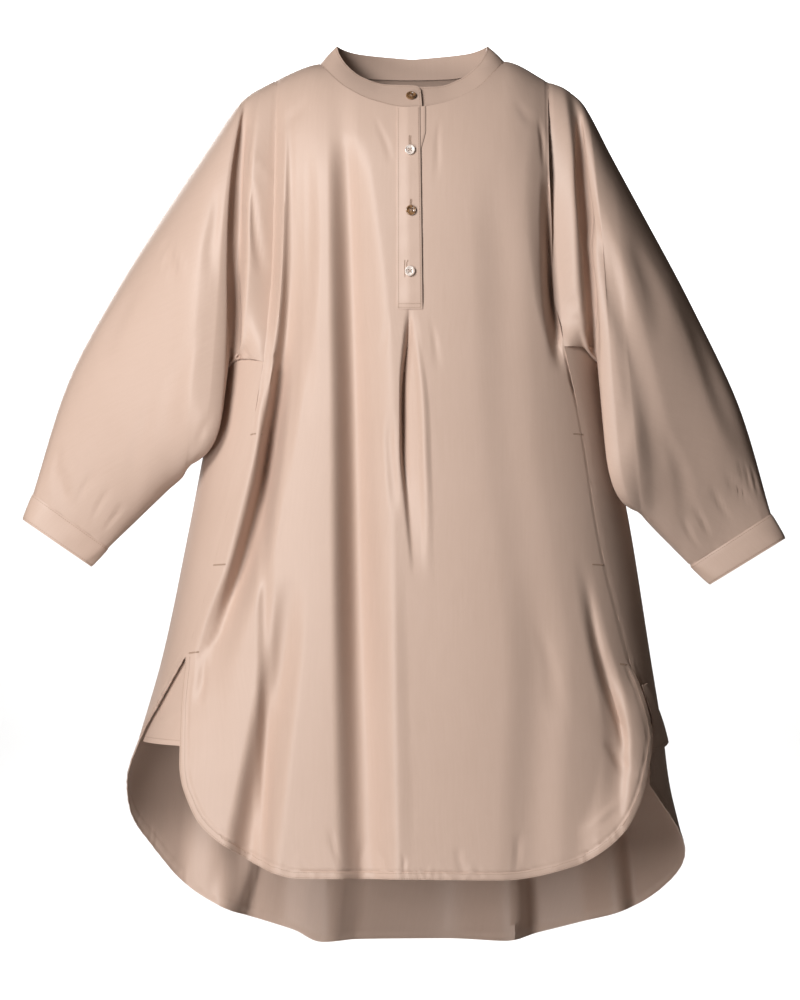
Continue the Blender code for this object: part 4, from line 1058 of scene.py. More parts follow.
def inset_line(edge: Array, normals: Array, inward: Array, off: float) -> Array:
    """A line beside an edge, off from it along the cloth.

    Args:
        edge: the edge's points.
        normals: the way out of the cloth there.
        inward: for each point, a vector that leads into the cloth.
        off: how far.

    Returns:
        The line's points.
    """
    tangent = unit(np.gradient(edge, axis=0))
    way = np.cross(normals, tangent)
    sign = np.sign((way * inward).sum(-1, keepdims=True))
    return edge + unit(way) * sign * off


# ---------------------------------------------------------------- the body's surface
@dataclass
class Torso:
    """The surface that the front, the back and the pieces on them share."""

    round_power: float = 2.4
    crown_drop: float = 140.0
    crown_power: float = 2.2
    seam_fade: float = 16.0
    seam_fade_top: float = 290.0
    seam_fade_depth: float = 40.0
    back_fade: float = 0.6
    underarm_rise: float = 8.0
    under_start: float = 0.4
    under_end: float = 0.5

    def crown(self, x: Array, drop: Array) -> Array:
        """How far the cloth has rounded over from the shoulder line.

        Args:
            x, drop: the points.

        Returns:
            0 on the line, rising to 1 below it.
        """
        below = np.clip((drop - column(TOP_LINE, "x", "drop", x)) / self.crown_drop, 0, 1)
        return (1 - (1 - below) ** self.crown_power) ** (1 / self.crown_power)

    def half_width(self, drop: Array) -> tuple[Array, Array]:
        """Half the body's width, and its middle."""
        left, right = (column(SECTIONS, "drop", side, drop) for side in ("left", "right"))
        return (right - left) / 2, (right + left) / 2

    def near_side_seam(self, x: Array, drop: Array) -> Array:
        """How much of the folds the cloth keeps near its side seams.

        Args:
            x, drop: the points.

        Returns:
            1 on the front, falling to 0 at the side seams and the vents.
        """
        left = x - column(SIDE_SEAM[Side.LEFT], "drop", "x", drop)
        right = column(SIDE_SEAM[Side.RIGHT], "drop", "x", drop) - x
        fade = ease(np.minimum(left, right) / self.seam_fade)
        return 1 - ease((drop - self.seam_fade_top) / self.seam_fade_depth) * (1 - fade)

    def front_point(self, x: Array, drop: Array, fine: bool = False) -> Array:
        """The outer face of the body's front.

        Args:
            x, drop: the points as seen from the front.
            fine: whether the small folds are on it.

        Returns:
            The points.
        """
        half, middle = self.half_width(drop)
        q = np.clip(np.abs(x - middle) / half, 0, 1)
        depth = column(SECTIONS, "drop", "front", drop) * (1 - q ** self.round_power) ** (1 / self.round_power)
        folds = troughs(FRONT_FOLDS, x, drop)
        if fine:
            folds = folds + troughs(FRONT_FINE_FOLDS, x, drop)
        y = -(depth - folds * self.near_side_seam(x, drop)) * self.crown(x, drop)
        return np.stack([x, y, -drop], -1)

    def round_angle(self, x: Array, drop: Array, front: Array | bool) -> Array:
        """The angle round the body of a point.

        Args:
            x, drop: the point as seen from the front.
            front: whether it lies on the front.

        Returns:
            The angle in degrees.
        """
        half, middle = self.half_width(drop)
        q = np.clip(np.abs(x - middle) / half, 0, 1)
        angle = np.degrees(np.arcsin(q ** (self.round_power / 2)))
        return np.sign(x - middle) * np.where(front, 180 - angle, angle)

    def body_point(self, angle: Array, drop: Array, fine: bool = False) -> Array:
        """The outer face of the body, all round.

        Args:
            angle: degrees round the body, 0 being the middle of the back.
            drop: how far down.
            fine: whether the small folds are on it.

        Returns:
            The points.
        """
        half, middle = self.half_width(drop)
        turn = np.radians(angle)
        x = middle + half * np.sign(turn) * np.abs(np.sin(turn)) ** (2 / self.round_power)
        facing = np.cos(turn)
        depth = column(SECTIONS, "drop", "back", drop) * np.abs(facing) ** (2 / self.round_power)
        folds = troughs(BACK_FOLDS, x, drop)
        if fine:
            folds = folds + troughs(BACK_FINE_FOLDS, x, drop) * ease((drop - 60) / 120)
        back = np.stack([x, (depth - folds * ease(facing / self.back_fade)) * self.crown(x, drop), -drop], -1)
        return np.where((facing < 0)[..., None], self.front_point(x, drop), back)

    @staticmethod
    def ring_share(v: Array) -> Array:
        """How far down a ring a place v lies: 0 at the top, 1 at the underarm."""
        return (1 - np.cos(2 * np.pi * v)) / 2

    def armhole(self, side: Side, v: Array) -> tuple[Array, Array]:
        """The armhole seam, down the front, under the arm and up the back.

        Args:
            side: which armhole.
            v: places along the seam.

        Returns:
            Their angles round the body and their drops.
        """
        v = np.asarray(v, float)
        front, back = ARMHOLE_FRONT[side], ARMHOLE_BACK[side]
        span = front[-1].drop - front[0].drop
        front_drop = front[0].drop + span * self.ring_share(v) / self.ring_share(np.array(self.under_start))
        front_drop = np.clip(front_drop, front[0].drop, front[-1].drop)
        front_angle = self.round_angle(column(front, "drop", "x", front_drop), front_drop, True)
        back_drop = back[0].drop + (back[-1].drop - back[0].drop) * self.ring_share(v)
        back_angle = self.round_angle(column(back, "drop", "x", back_drop), back_drop, False)
        under = np.clip((v - self.under_start) / (self.under_end - self.under_start), 0, 1)
        corner = self.round_angle(np.array(front[-1].x), np.array(front[-1].drop), True)
        under_angle = corner + (side * 90 - corner) * under
        under_drop = (front[-1].drop + (back[-1].drop - front[-1].drop) * under
                      - self.underarm_rise * np.sin(np.pi * under))
        parts = [v <= self.under_start, v <= self.under_end]
        return np.select(parts, [front_angle, under_angle], back_angle), np.select(parts, [front_drop, under_drop],
                                                                                   back_drop)

    def vent_edge(self, side: Side) -> tuple[Array, Array]:
        """The front's free edge from the vent down.

        Args:
            side: which vent.

        Returns:
            Drops and their x.
        """
        start, end = (0, FRONT_CORNERS[0]) if side == Side.LEFT else (1, FRONT_CORNERS[1])
        edge = along(FRONT_HEM, np.linspace(start, end, 60))
        return edge[:, 1], edge[:, 0]

    def flared_front(self, x: Array, drop: Array, fine: bool = False) -> Array:
        """The outer face of the front panel, forward of the back beside the vents.

        Args:
            x, drop: the points as seen from the front.
            fine: whether the small folds are on it.

        Returns:
            The points.
        """
        points = self.front_point(x, drop, fine)
        for side, flare in VENT_FLARE.items():
            inside = (np.interp(drop, *self.vent_edge(side)) - x) * side
            down = ease((drop - flare.top) / (flare.full - flare.top))
            points[..., 1] -= flare.lift * down * ease(1 - inside / flare.reach)
        return points


@dataclass
class Plan:
    """How finely the pieces of cloth are divided, the same on both sides of each seam."""

    fine: int = 5
    arm_rows: int = 10
    wing_columns: int = 4
    back_arm_rows: int = 11
    side_rows: int = 9
    vent_rows: int = 3
    hem_rows: int = 44
    front_arm_share: float = 0.36
    front_vent_share: float = 0.72
    back_arm_share: float = 0.4
    back_vent_share: float = 0.84
    shoulder_share: float = 0.14
    shoulder_columns: int = 6
    edge_power: float = 1.45

    def times(self, count: int) -> int:
        """A count, as finely as this plan divides it."""
        return count * self.fine

    def crowded(self, count: int) -> Array:
        """Shares from above 0 to 1 that crowd together at 1, for the rows beside a hem."""
        return 1 - (1 - np.linspace(0, 1, count + 1)[1:]) ** self.edge_power


def top_edge(plan: Plan, neck: Sequence[Mark], s: Array) -> Array:
    """The top edge of a panel: shoulder, neckline, shoulder.

    Args:
        plan: how the pieces are divided.
        neck: the panel's neckline.
        s: shares of the panel's width.

    Returns:
        x and drop at each share.
    """
    shoulder = [TOP_LINE[2], TOP_LINE[3], TOP_LINE[5], TOP_LINE[6]]
    x = np.interp(s, [0, plan.shoulder_share, 1 - plan.shoulder_share, 1], [m.x for m in shoulder])
    on_neck = (s > plan.shoulder_share) & (s < 1 - plan.shoulder_share)
    drop = np.where(on_neck, column(neck, "x", "drop", x), column(TOP_LINE, "x", "drop", x))
    return np.stack([x, drop], -1)


def seam_rows(plan: Plan, side: Side) -> tuple[Array, Array]:
    """The side seam's points, from the underarm to the vent.

    Args:
        plan: how the pieces are divided.
        side: which seam.

    Returns:
        Their drops and their x.
    """
    seam = SIDE_SEAM[side]
    drop = np.linspace(seam[0].drop, seam[-1].drop, plan.times(plan.side_rows) + 1)
    return drop, column(seam, "drop", "x", drop)


@dataclass
class Front:
    """The front panel, with its curved hem and the vents' front edges."""

    torso: Torso
    plan: Plan
    hem: EdgeFinish = field(default_factory=lambda: EdgeFinish(8.5, 0.75, 1.1, 1.0, 9.0, 5))
    seam: EdgeFinish = field(default_factory=lambda: EdgeFinish(1.0, 0.0, 0.9, 0.35, 15.0, 8))

    def grid(self) -> Array:
        """The panel's outer points, laid out in x and drop.

        Returns:
            The grid.
        """
        plan, torso = self.plan, self.torso
        arm = np.linspace(0, torso.under_start, plan.times(plan.arm_rows) + 1)
        hem = plan.crowded(plan.hem_rows)
        low, high = FRONT_CORNERS
        edges = {}
        for side, places in ((Side.LEFT, hem * low), (Side.RIGHT, 1 - hem * (1 - high))):
            arm_drop = torso.armhole(side, arm)[1]
            arm_x = column(ARMHOLE_FRONT[side], "drop", "x", arm_drop)
            seam_drop, seam_x = seam_rows(plan, side)
            edges[side] = np.concatenate([np.stack([arm_x, arm_drop], -1), np.stack([seam_x, seam_drop], -1)[1:],
                                          along(FRONT_HEM, places)])
        rows = plan.front_arm_share * (arm_drop - arm_drop[0]) / (arm_drop[-1] - arm_drop[0])
        t = np.concatenate([
            rows,
            np.linspace(plan.front_arm_share, plan.front_vent_share, plan.times(plan.side_rows) + 1)[1:],
            plan.front_vent_share + (1 - plan.front_vent_share) * hem,
        ])
        fine = plan.fine
        s = shares((Zone(0.14, 6 * fine), Zone(0.2, 3 * fine), Zone(0.44, 8 * fine), Zone(0.56, 11 * fine),
                    Zone(0.86, 9 * fine), Zone(1.0, 6 * fine)))
        bottom = along(FRONT_HEM, low + (high - low) * s)
        top = top_edge(plan, FRONT_NECK, s)
        flat = spanned(top, bottom, edges[Side.LEFT], edges[Side.RIGHT], s, t, 1)
        return self.torso.flared_front(flat[..., 0], flat[..., 1], True)

    def free_edge(self, shell: Shell) -> tuple[Array, Array]:
        """The vents' front edges and the hem between them.

        Args:
            shell: the front's cloth.

        Returns:
            The edge's points and the way out of the cloth there.
        """
        start = self.plan.times(self.plan.arm_rows) + self.plan.times(self.plan.side_rows)
        spots = [shell.grid[start:, 0], shell.grid[-1, 1:-1], shell.grid[start:, -1][::-1]]
        out = [shell.normals[start:, 0], shell.normals[-1, 1:-1], shell.normals[start:, -1][::-1]]
        return np.concatenate(spots), np.concatenate(out)

    def seam_edge(self, shell: Shell, column_at: int) -> tuple[Array, Array]:
        """The armhole and side seam down one side.

        Args:
            shell: the front's cloth.
            column_at: the column on that side.

        Returns:
            The seam's points and the way out of the cloth there.
        """
        end = self.plan.times(self.plan.arm_rows) + self.plan.times(self.plan.side_rows) + 1
        return shell.grid[:end, column_at], shell.normals[:end, column_at]


@dataclass
class Back:
    """The back panel: its middle, and the wings that reach round to the side seams."""

    torso: Torso
    plan: Plan
    hem: EdgeFinish = field(default_factory=lambda: EdgeFinish(6.5, 0.6, 0.9, 0.9, 9.0, 9))
    seam: EdgeFinish = field(default_factory=lambda: EdgeFinish(1.0, 0.0, 0.9, 0.35, 15.0, 12))

    def grid(self) -> Array:
        """The panel's outer points, laid out in angle round the body and drop.

        Returns:
            The grid.
        """
        plan, torso = self.plan, self.torso
        arm = np.linspace(1, torso.under_end, plan.times(plan.back_arm_rows) + 1)
        vent = plan.crowded(plan.times(plan.vent_rows) + 10)
        low_t = np.concatenate([
            np.linspace(plan.back_arm_share, plan.back_vent_share, plan.times(plan.side_rows) + 1),
            plan.back_vent_share + (1 - plan.back_vent_share) * vent,
        ])
        wing_t = (low_t - plan.back_arm_share) / (1 - plan.back_arm_share)
        across = np.linspace(0, 1, plan.times(plan.wing_columns) + 1)
        edges, wings = {}, {}
        for side in (Side.LEFT, Side.RIGHT):
            under = torso.under_start + (torso.under_end - torso.under_start) * across
            top = np.stack(torso.armhole(side, under), -1)
            seam_drop, seam_x = seam_rows(plan, side)
            seam = np.stack([torso.round_angle(seam_x, seam_drop, True), seam_drop], -1)
            rows = np.array(BACK_EDGE[side][:plan.vent_rows + 1])
            free = np.stack([np.interp(vent * plan.vent_rows, range(len(rows)), rows[:, k]) for k in (0, 1)], -1)
            hem = along(BACK_EDGE[side][plan.vent_rows:], across)
            below = top[-1, 1] + (hem[-1, 1] - top[-1, 1]) * wing_t
            low_edge = np.stack([np.full_like(below, side * 90.0), below], -1)
            wings[side] = spanned(top, hem, np.concatenate([seam, free]), low_edge, across, wing_t, 1)
            edges[side] = np.concatenate([np.stack(torso.armhole(side, arm), -1), low_edge[1:]])
        arm_rows = plan.times(plan.back_arm_rows)
        drops = edges[Side.LEFT][:arm_rows + 1, 1]
        t = np.concatenate([plan.back_arm_share * (drops - drops[0]) / (drops[-1] - drops[0]), low_t[1:]])
        shoulder = plan.times(plan.shoulder_columns)
        s = shares((Zone(plan.shoulder_share, shoulder), Zone(1 - plan.shoulder_share, 24 * plan.fine),
                    Zone(1.0, shoulder)))
        top = top_edge(plan, BACK_NECK, s)
        top = np.stack([torso.round_angle(top[:, 0], top[:, 1], False), top[:, 1]], -1)
        even = np.linspace(0, 1, len(s))
        middle = spanned(top, along(BACK_HEM, even), edges[Side.LEFT], edges[Side.RIGHT], even, t, 2)
        empty = np.full((arm_rows, plan.times(plan.wing_columns), 2), np.nan)
        left = np.concatenate([empty, wings[Side.LEFT][:, :-1]])
        right = np.concatenate([empty, wings[Side.RIGHT][:, -2::-1]])
        flat = np.concatenate([left, middle, right], axis=1)
        return torso.body_point(flat[..., 0], flat[..., 1], True)

    def free_edge(self, shell: Shell) -> tuple[Array, Array]:
        """The vents' back edges and the hem between them.

        Args:
            shell: the back's cloth.

        Returns:
            The edge's points and the way out of the cloth there.
        """
        start = self.plan.times(self.plan.back_arm_rows) + self.plan.times(self.plan.side_rows)
        spots = [shell.grid[start:, 0], shell.grid[-1, 1:-1], shell.grid[start:, -1][::-1]]
        out = [shell.normals[start:, 0], shell.normals[-1, 1:-1], shell.normals[start:, -1][::-1]]
        return np.concatenate(spots), np.concatenate(out)

    def seam_edge(self, shell: Shell, side: Side) -> tuple[Array, Array]:
        """The side seam and the armhole on one side.

        Args:
            shell: the back's cloth.
            side: which side.

        Returns:
            The seam's points and the way out of the cloth there.
        """
        arm, wing = self.plan.times(self.plan.back_arm_rows), self.plan.times(self.plan.wing_columns)
        end = arm + self.plan.times(self.plan.side_rows) + 1
        columns = shell.grid.shape[1]
        outer, inner = (0, wing) if side == Side.LEFT else (columns - 1, columns - 1 - wing)
        under = range(outer, inner, -side)
        spots = [shell.grid[arm:end, outer][::-1], shell.grid[arm, list(under)], shell.grid[:arm + 1, inner][::-1]]
        out = [shell.normals[arm:end, outer][::-1], shell.normals[arm, list(under)],
               shell.normals[:arm + 1, inner][::-1]]
        return np.concatenate(spots), np.concatenate(out)


@dataclass
class Sleeve:
    """A deep batwing sleeve, whose front layer hangs over the part nearest the body."""

    torso: Torso
    plan: Plan
    side: Side
    round_power: float = 2.2
    back_full: float = 0.55

    def bulge(self, c: Array, full: Array | float) -> Array:
        """0 at both ends of the ring's chord and 1 at the share full."""
        off = np.where(c < full, (full - c) / full, (c - full) / (1 - full))
        return (1 - np.clip(off, 0, 1) ** self.round_power) ** (1 / self.round_power)

    def ring(self, u: Array, v: Array) -> Array:
        """A point of the sleeve's own ring, before its first rings are drawn to the armhole."""
        row = {name: column(SLEEVES[self.side], "at", name, u) for name in Ring._fields[1:]}
        c = self.torso.ring_share(v)
        front = v <= self.torso.under_end
        share = np.where(front, self.bulge(c, row["full"]), self.bulge(c, self.back_full))
        over = np.sin(np.pi * c / 2) ** 2 * np.where(c > row["full"], share, 1) * front
        x = row["top_x"] + (row["low_x"] - row["top_x"]) * c + row["lap"] * over
        z = -(row["top_drop"] + (row["low_drop"] - row["top_drop"]) * c)
        y = (1 - share) * row["low_y"] * c + share * np.where(front, -row["front"], row["back"])
        return np.stack([x, y, z], -1)

    def point(self, u: Array, v: Array) -> Array:
        """The sleeve's outer face: u from the armhole to the cuff, v round it from the top down the front."""
        first = self.ring(np.zeros_like(u), v)
        pull = 1 - ease(u / SLEEVES[self.side][1].at)
        seam = self.torso.body_point(*self.torso.armhole(self.side, v))
        return self.ring(u, v) + pull[..., None] * (seam - first)

    def places(self) -> Array:
        """Where the sleeve's lines run round it, matching the points of the armhole."""
        plan, torso = self.plan, self.torso
        return np.concatenate([
            np.linspace(0, torso.under_start, plan.times(plan.arm_rows) + 1),
            np.linspace(torso.under_start, torso.under_end, plan.times(plan.wing_columns) + 1)[1:],
            np.linspace(torso.under_end, 1, plan.times(plan.back_arm_rows) + 1)[1:-1],
        ])

    def grid(self) -> Array:
        """The sleeve's outer points."""
        count = len(SLEEVE_STEPS)
        steps = np.interp(np.linspace(0, count - 1, (count - 1) * 5 + 1), range(count), SLEEVE_STEPS)
        u, v = np.meshgrid(steps, self.places(), indexing="ij")
        return self.point(u, v)

    def cuff_grid(self, rows: int = 14) -> Array:
        """The cuff's outer points, from the sleeve's last ring to its plain edge."""
        v = self.places()
        start = self.point(np.ones_like(v), v)
        last, edge = SLEEVES[self.side][-1], CUFF_EDGE[self.side]
        c = self.torso.ring_share(v)
        shift_x = (edge.top_x - last.top_x) * (1 - c) + (edge.low_x - last.low_x) * c
        shift_z = -((edge.top_drop - last.top_drop) * (1 - c) + (edge.low_drop - last.low_drop) * c)
        end = start + np.stack([shift_x, np.zeros_like(v), shift_z], -1)
        steps = np.linspace(0, 1, rows)[:, None, None]
        return start[None] * (1 - steps) + end[None] * steps


@dataclass
class Collar:
    """The stand collar, lapped at the front, from its upper end round to the lower end behind it."""

    torso: Torso
    width: float = 88.0
    front: float = 50.0
    back: float = 37.0
    middle: float = 2.5
    clear: float = 0.9
    wall: float = 2.2
    thick: float = 1.9
    rows: int = 14
    sunk: float = 1.2
    upper: tuple[float, float] = (6.2, -9.0)
    lower: tuple[float, float] = (-354.8, -370.0)
    end_columns: int = 13

    def neck_point(self, angle: Array) -> Array:
        """The neckline at an angle round the neck: 0 in front, -90 on the viewer's left, 180 behind."""
        turn = np.radians(angle)
        reach = np.where(np.sin(turn) < 0, self.middle - FRONT_NECK[0].x, FRONT_NECK[-1].x - self.middle)
        x = self.middle + reach * np.sin(turn)
        before = np.cos(turn) > 0
        drop = np.where(before, column(FRONT_NECK, "x", "drop", x), column(BACK_NECK, "x", "drop", x))
        return self.torso.body_point(self.torso.round_angle(x, drop, before), drop)

    def shell(self) -> Shell:
        """The collar's cloth, two layers thick."""
        angles = np.concatenate([np.linspace(*self.upper, self.end_columns), np.linspace(-11, -352, 170),
                                 np.linspace(*self.lower, self.end_columns)])
        low = self.neck_point(angles)
        turn = np.radians(angles)
        depth = np.where(np.cos(turn) > 0, self.front, self.back)
        round_front = np.abs((angles + 180) % 360 - 180)
        high = np.stack([self.middle + self.width * np.sin(turn), -depth * np.cos(turn),
                         -column(COLLAR_TOP, "angle", "drop", round_front)], -1)
        low = low - np.array([0, 0, self.sunk])
        corner = np.clip((self.upper[0] - angles) / 7.0, 0, 1)
        tall = 0.80 + 0.20 * np.sqrt(1 - (1 - corner) ** 2)
        high = low + (high - low) * tall[:, None]
        steps = np.linspace(0, 1, self.rows)[:, None, None]
        grid = low[None] * (1 - steps) + high[None] * steps
        out = grid_normals(grid, False)
        out[0, :, 2] = 0
        out = unit(out)
        behind = ease((-300.0 - angles) / 45)[None, :, None]
        belly = np.sin(np.pi * steps) * 0.7
        return Shell("collar_band", grid - out * behind * (self.wall + self.clear) + out * belly * (1 - behind),
                     out, thick=self.thick)


@dataclass
class Placket:
    """The half placket: an upper strip with buttonholes over a lower one."""

    torso: Torso
    strip_wall: float = 1.0
    over_left: float = -15.8
    over_bottom: float = 281.0
    over_lift: float = 1.9
    under_left: float = -14.0
    under_bottom: float = 278.0
    under_lift: float = 0.5
    rows: int = 150
    columns: int = 26
    stitch_lines: tuple[float, ...] = (1.4, 4.6)

    def strip(self, left: float, right: Sequence[Edge], bottom: float, lift: float, name: str) -> Shell:
        """One strip that lies on the front, from the neckline down.

        Args:
            left: its left side.
            right: its right side, by share of its length.
            bottom: the drop of its lower end.
            lift: how far it lies above the front.
            name: the piece's name.

        Returns:
            The strip.
        """
        t = np.linspace(0, 1, self.rows + 1)[:, None]
        s = np.linspace(0, 1, self.columns + 1)[None, :]
        side = np.interp(t, [edge.share for edge in right], [edge.x for edge in right])
        x = left + (side - left) * s
        start = column(FRONT_NECK, "x", "drop", x)
        drop = start + (bottom - start) * t
        x, drop = np.broadcast_arrays(x, drop)
        base = self.torso.front_point(x, drop)
        out = unit(np.cross(np.gradient(base, axis=0), np.gradient(base, axis=1)))
        rounded = 0.5 * (1 - np.clip(np.minimum(s, 1 - s) * self.columns / 2.0, 0, 1) ** 0.5)
        wander = 0.22 * np.sin(drop / 11.0 + 2.0 * s) * np.sin(drop / 29.0) + 0.14 * np.sin(drop / 4.7 + 3 * s)
        flush = (0.3 + 0.7 * ease(s / 0.55)) * (0.45 + 0.55 * ease((1 - t) / 0.04))
        grid = base + out * ((lift + self.strip_wall - rounded) * flush + wander * 0.7)[..., None]
        return Shell(name, grid, out, thick=self.strip_wall)


@dataclass
class Button:
    """A turned button with a raised rim, four holes and crossed thread."""

    width: float = 12.0
    thick: float = 3.0
    sides: int = 48
    hole: float = 0.75
    hole_off: float = 1.45

    def build(self, name: str, node: str, middle: Array, out: Array, finish: Polished, slot: str) -> None:
        """Makes one button with its thread.

        Args:
            name: the piece's name.
            node: the solid it stands for.
            middle: where its back lies.
            out: the way out from the cloth.
            finish: its material.
            slot: the material slot of the record.
        """
        side = unit(np.cross(out, (0.0, 0.0, 1.0)))
        up = np.cross(side, out)
        profile = ((0.0, 0.05), (0.66, 0.0), (0.86, 0.12), (0.97, 0.32), (1.0, 0.55), (0.985, 0.78), (0.94, 0.94),
                   (0.86, 1.0), (0.78, 0.95), (0.70, 0.80), (0.60, 0.68), (0.40, 0.64), (0.0, 0.62))
        mesh = bmesh.new()
        rings = []
        for radius, height in profile:
            centre = middle + out * height * self.thick
            if radius == 0:
                rings.append([mesh.verts.new(centre * MM)])
                continue
            turns = [2 * math.pi * k / self.sides for k in range(self.sides)]
            rings.append([mesh.verts.new((centre + (side * math.cos(a) + up * math.sin(a)) * radius * self.width / 2)
                                         * MM) for a in turns])
        for low, high in zip(rings, rings[1:]):
            for j in range(self.sides):
                k = (j + 1) % self.sides
                if len(low) == 1:
                    mesh.faces.new((low[0], high[j], high[k]))
                elif len(high) == 1:
                    mesh.faces.new((low[j], high[0], low[k]))
                else:
                    mesh.faces.new((low[j], high[j], high[k], low[k]))
        bmesh.ops.recalc_face_normals(mesh, faces=mesh.faces[:])
        blank = bpy.data.meshes.new(name)
        mesh.to_mesh(blank)
        mesh.free()
        data = self._drilled(blank, middle, out, side, up)
        data.shade_smooth()
        data.set_sharp_from_angle(angle=math.radians(35))
        dressed(name, data, finish, slot, node)
        thread = Stitching(f"{name}_thread", radius=0.34)
        face = middle + out * self.thick * 0.66
        for a, b in ((1, 1), (1, -1)):
            start = face - (side * a + up * b) * self.hole_off
            end = face + (side * a + up * b) * self.hole_off
            thread.stitch((start + end) / 2, unit(end - start), out, float(np.linalg.norm(end - start)) + 0.6, 0.36)
        thread.build()

    def _drilled(self, blank: bpy.types.Mesh, middle: Array, out: Array, side: Array, up: Array) -> bpy.types.Mesh:
        """The button with its four holes cut through."""
        body = bpy.data.objects.new("blank", blank)
        bpy.context.scene.collection.objects.link(body)
        drills = bmesh.new()
        turns = [2 * math.pi * k / 14 for k in range(14)]
        for a, b in ((1, 1), (1, -1), (-1, -1), (-1, 1)):
            centre = middle + (side * a + up * b) * self.hole_off
            ends = []
            for height in (-1.0, self.thick + 1.0):
                ends.append([drills.verts.new((centre + out * height
                                               + (side * math.cos(t) + up * math.sin(t)) * self.hole) * MM)
                             for t in turns])
            drills.faces.new(ends[0][::-1])
            drills.faces.new(ends[1])
            for j in range(14):
                k = (j + 1) % 14
                drills.faces.new((ends[0][j], ends[0][k], ends[1][k], ends[1][j]))
        bmesh.ops.recalc_face_normals(drills, faces=drills.faces[:])
        cutter_mesh = bpy.data.meshes.new("drills")
        drills.to_mesh(cutter_mesh)
        drills.free()
        cutter = bpy.data.objects.new("drills", cutter_mesh)
        bpy.context.scene.collection.objects.link(cutter)
        cut = body.modifiers.new("holes", "BOOLEAN")
        cut.object = cutter
        cut.operation = "DIFFERENCE"
        cut.solver = "EXACT"
        bpy.context.view_layer.update()
        made = bpy.data.meshes.new_from_object(body.evaluated_get(bpy.context.evaluated_depsgraph_get()))
        bpy.data.objects.remove(body)
        bpy.data.objects.remove(cutter)
        return made


@dataclass
class Gussets:
    """The two gussets in the side vents: the left spans its vent, the right is folded out over the back."""

    torso: Torso
    thick: float = 0.9
    inset: float = 4.6
    clear: float = 2.2
    fold_angle: float = 94.0
    tuck: float = -0.1
    thin: float = 0.65
    left_back: float = 1.5
    left_front: float = -3.0

    def beside(self, angle: Array, drop: Array, out: Array | float) -> Array:
        """A point that stands out from the body's outer face."""
        angle, drop, out = np.broadcast_arrays(angle, drop, out)
        step = self.torso.body_point(angle + 1, drop) - self.torso.body_point(angle - 1, drop)
        normal = unit(np.stack([-step[..., 1], step[..., 0], np.zeros_like(step[..., 0])], -1))
        return self.torso.body_point(angle, drop) + normal * out[..., None]

    def vent(self, side: Side, t: Array) -> tuple[Array, Array, Array, Array]:
        """Drops down a vent's front and back edges, and the angles of those edges."""
        back_low, front_low = GUSSET_BOTTOM[side]
        top = SIDE_SEAM[side][-1]
        front_drop = top.drop + (front_low - top.drop) * t
        back_drop = top.drop + (back_low - top.drop) * t
        front = self.torso.round_angle(np.interp(front_drop, *self.torso.vent_edge(side)), front_drop, True)
        corner = float(self.torso.round_angle(np.array(top.x, float), np.array(top.drop, float), True))
        angles = [corner] + [turn.angle for turn in BACK_EDGE[side][1:]]
        back = smooth([turn.drop for turn in BACK_EDGE[side]], angles, back_drop)
        return front_drop, back_drop, front, back

    def left(self) -> Shell:
        """The left gusset, just inside both edges of its vent."""
        t = np.linspace(0.05, 1, 50)[:, None]
        s = np.linspace(0, 1, 40)[None, :]
        front_drop, back_drop, front, back = self.vent(Side.LEFT, t)
        angle = (back + self.left_back) * (1 - s) + (front + self.left_front) * s
        dip = 1.1 * np.sin(np.pi * s) * np.sin(2.4 * np.pi * t + 2.2 * s) * t
        grid = self.beside(angle, back_drop * (1 - s) + front_drop * s, -self.inset - np.abs(dip))
        return Shell("gusset_left_cloth", grid, grid_normals(grid, False), thick=self.thick)

    def right(self) -> Shell:
        """The right gusset: a front layer, a round fold and a layer that lies on the back."""
        t = np.linspace(0.2, 1, 50)[:, None]
        front_drop, back_drop, front, _ = self.vent(Side.RIGHT, t)
        places = np.linspace(0, len(GUSSET_LINES) - 1, 43)
        known = range(len(GUSSET_LINES))
        share = smooth(known, [line.share for line in GUSSET_LINES], places)[None, :]
        out = smooth(known, [line.out for line in GUSSET_LINES], places)[None, :]
        share = np.where(share < 0, self.tuck + (share - self.tuck) * ease(3 * t - 1.6), share)
        out = self.clear + (out - self.clear) * (self.thin + (1 - self.thin) * ease(2 * t - 0.4))
        start = front[0, 0]
        fold = start + (self.fold_angle - start) * t
        angle = front * (1 - share) + fold * share
        drop = front_drop + (back_drop - front_drop) * np.clip(share, 0, 1)
        grid = self.beside(angle, drop, out)
        return Shell("gusset_right_cloth", grid, grid_normals(grid, False), thick=self.thick)


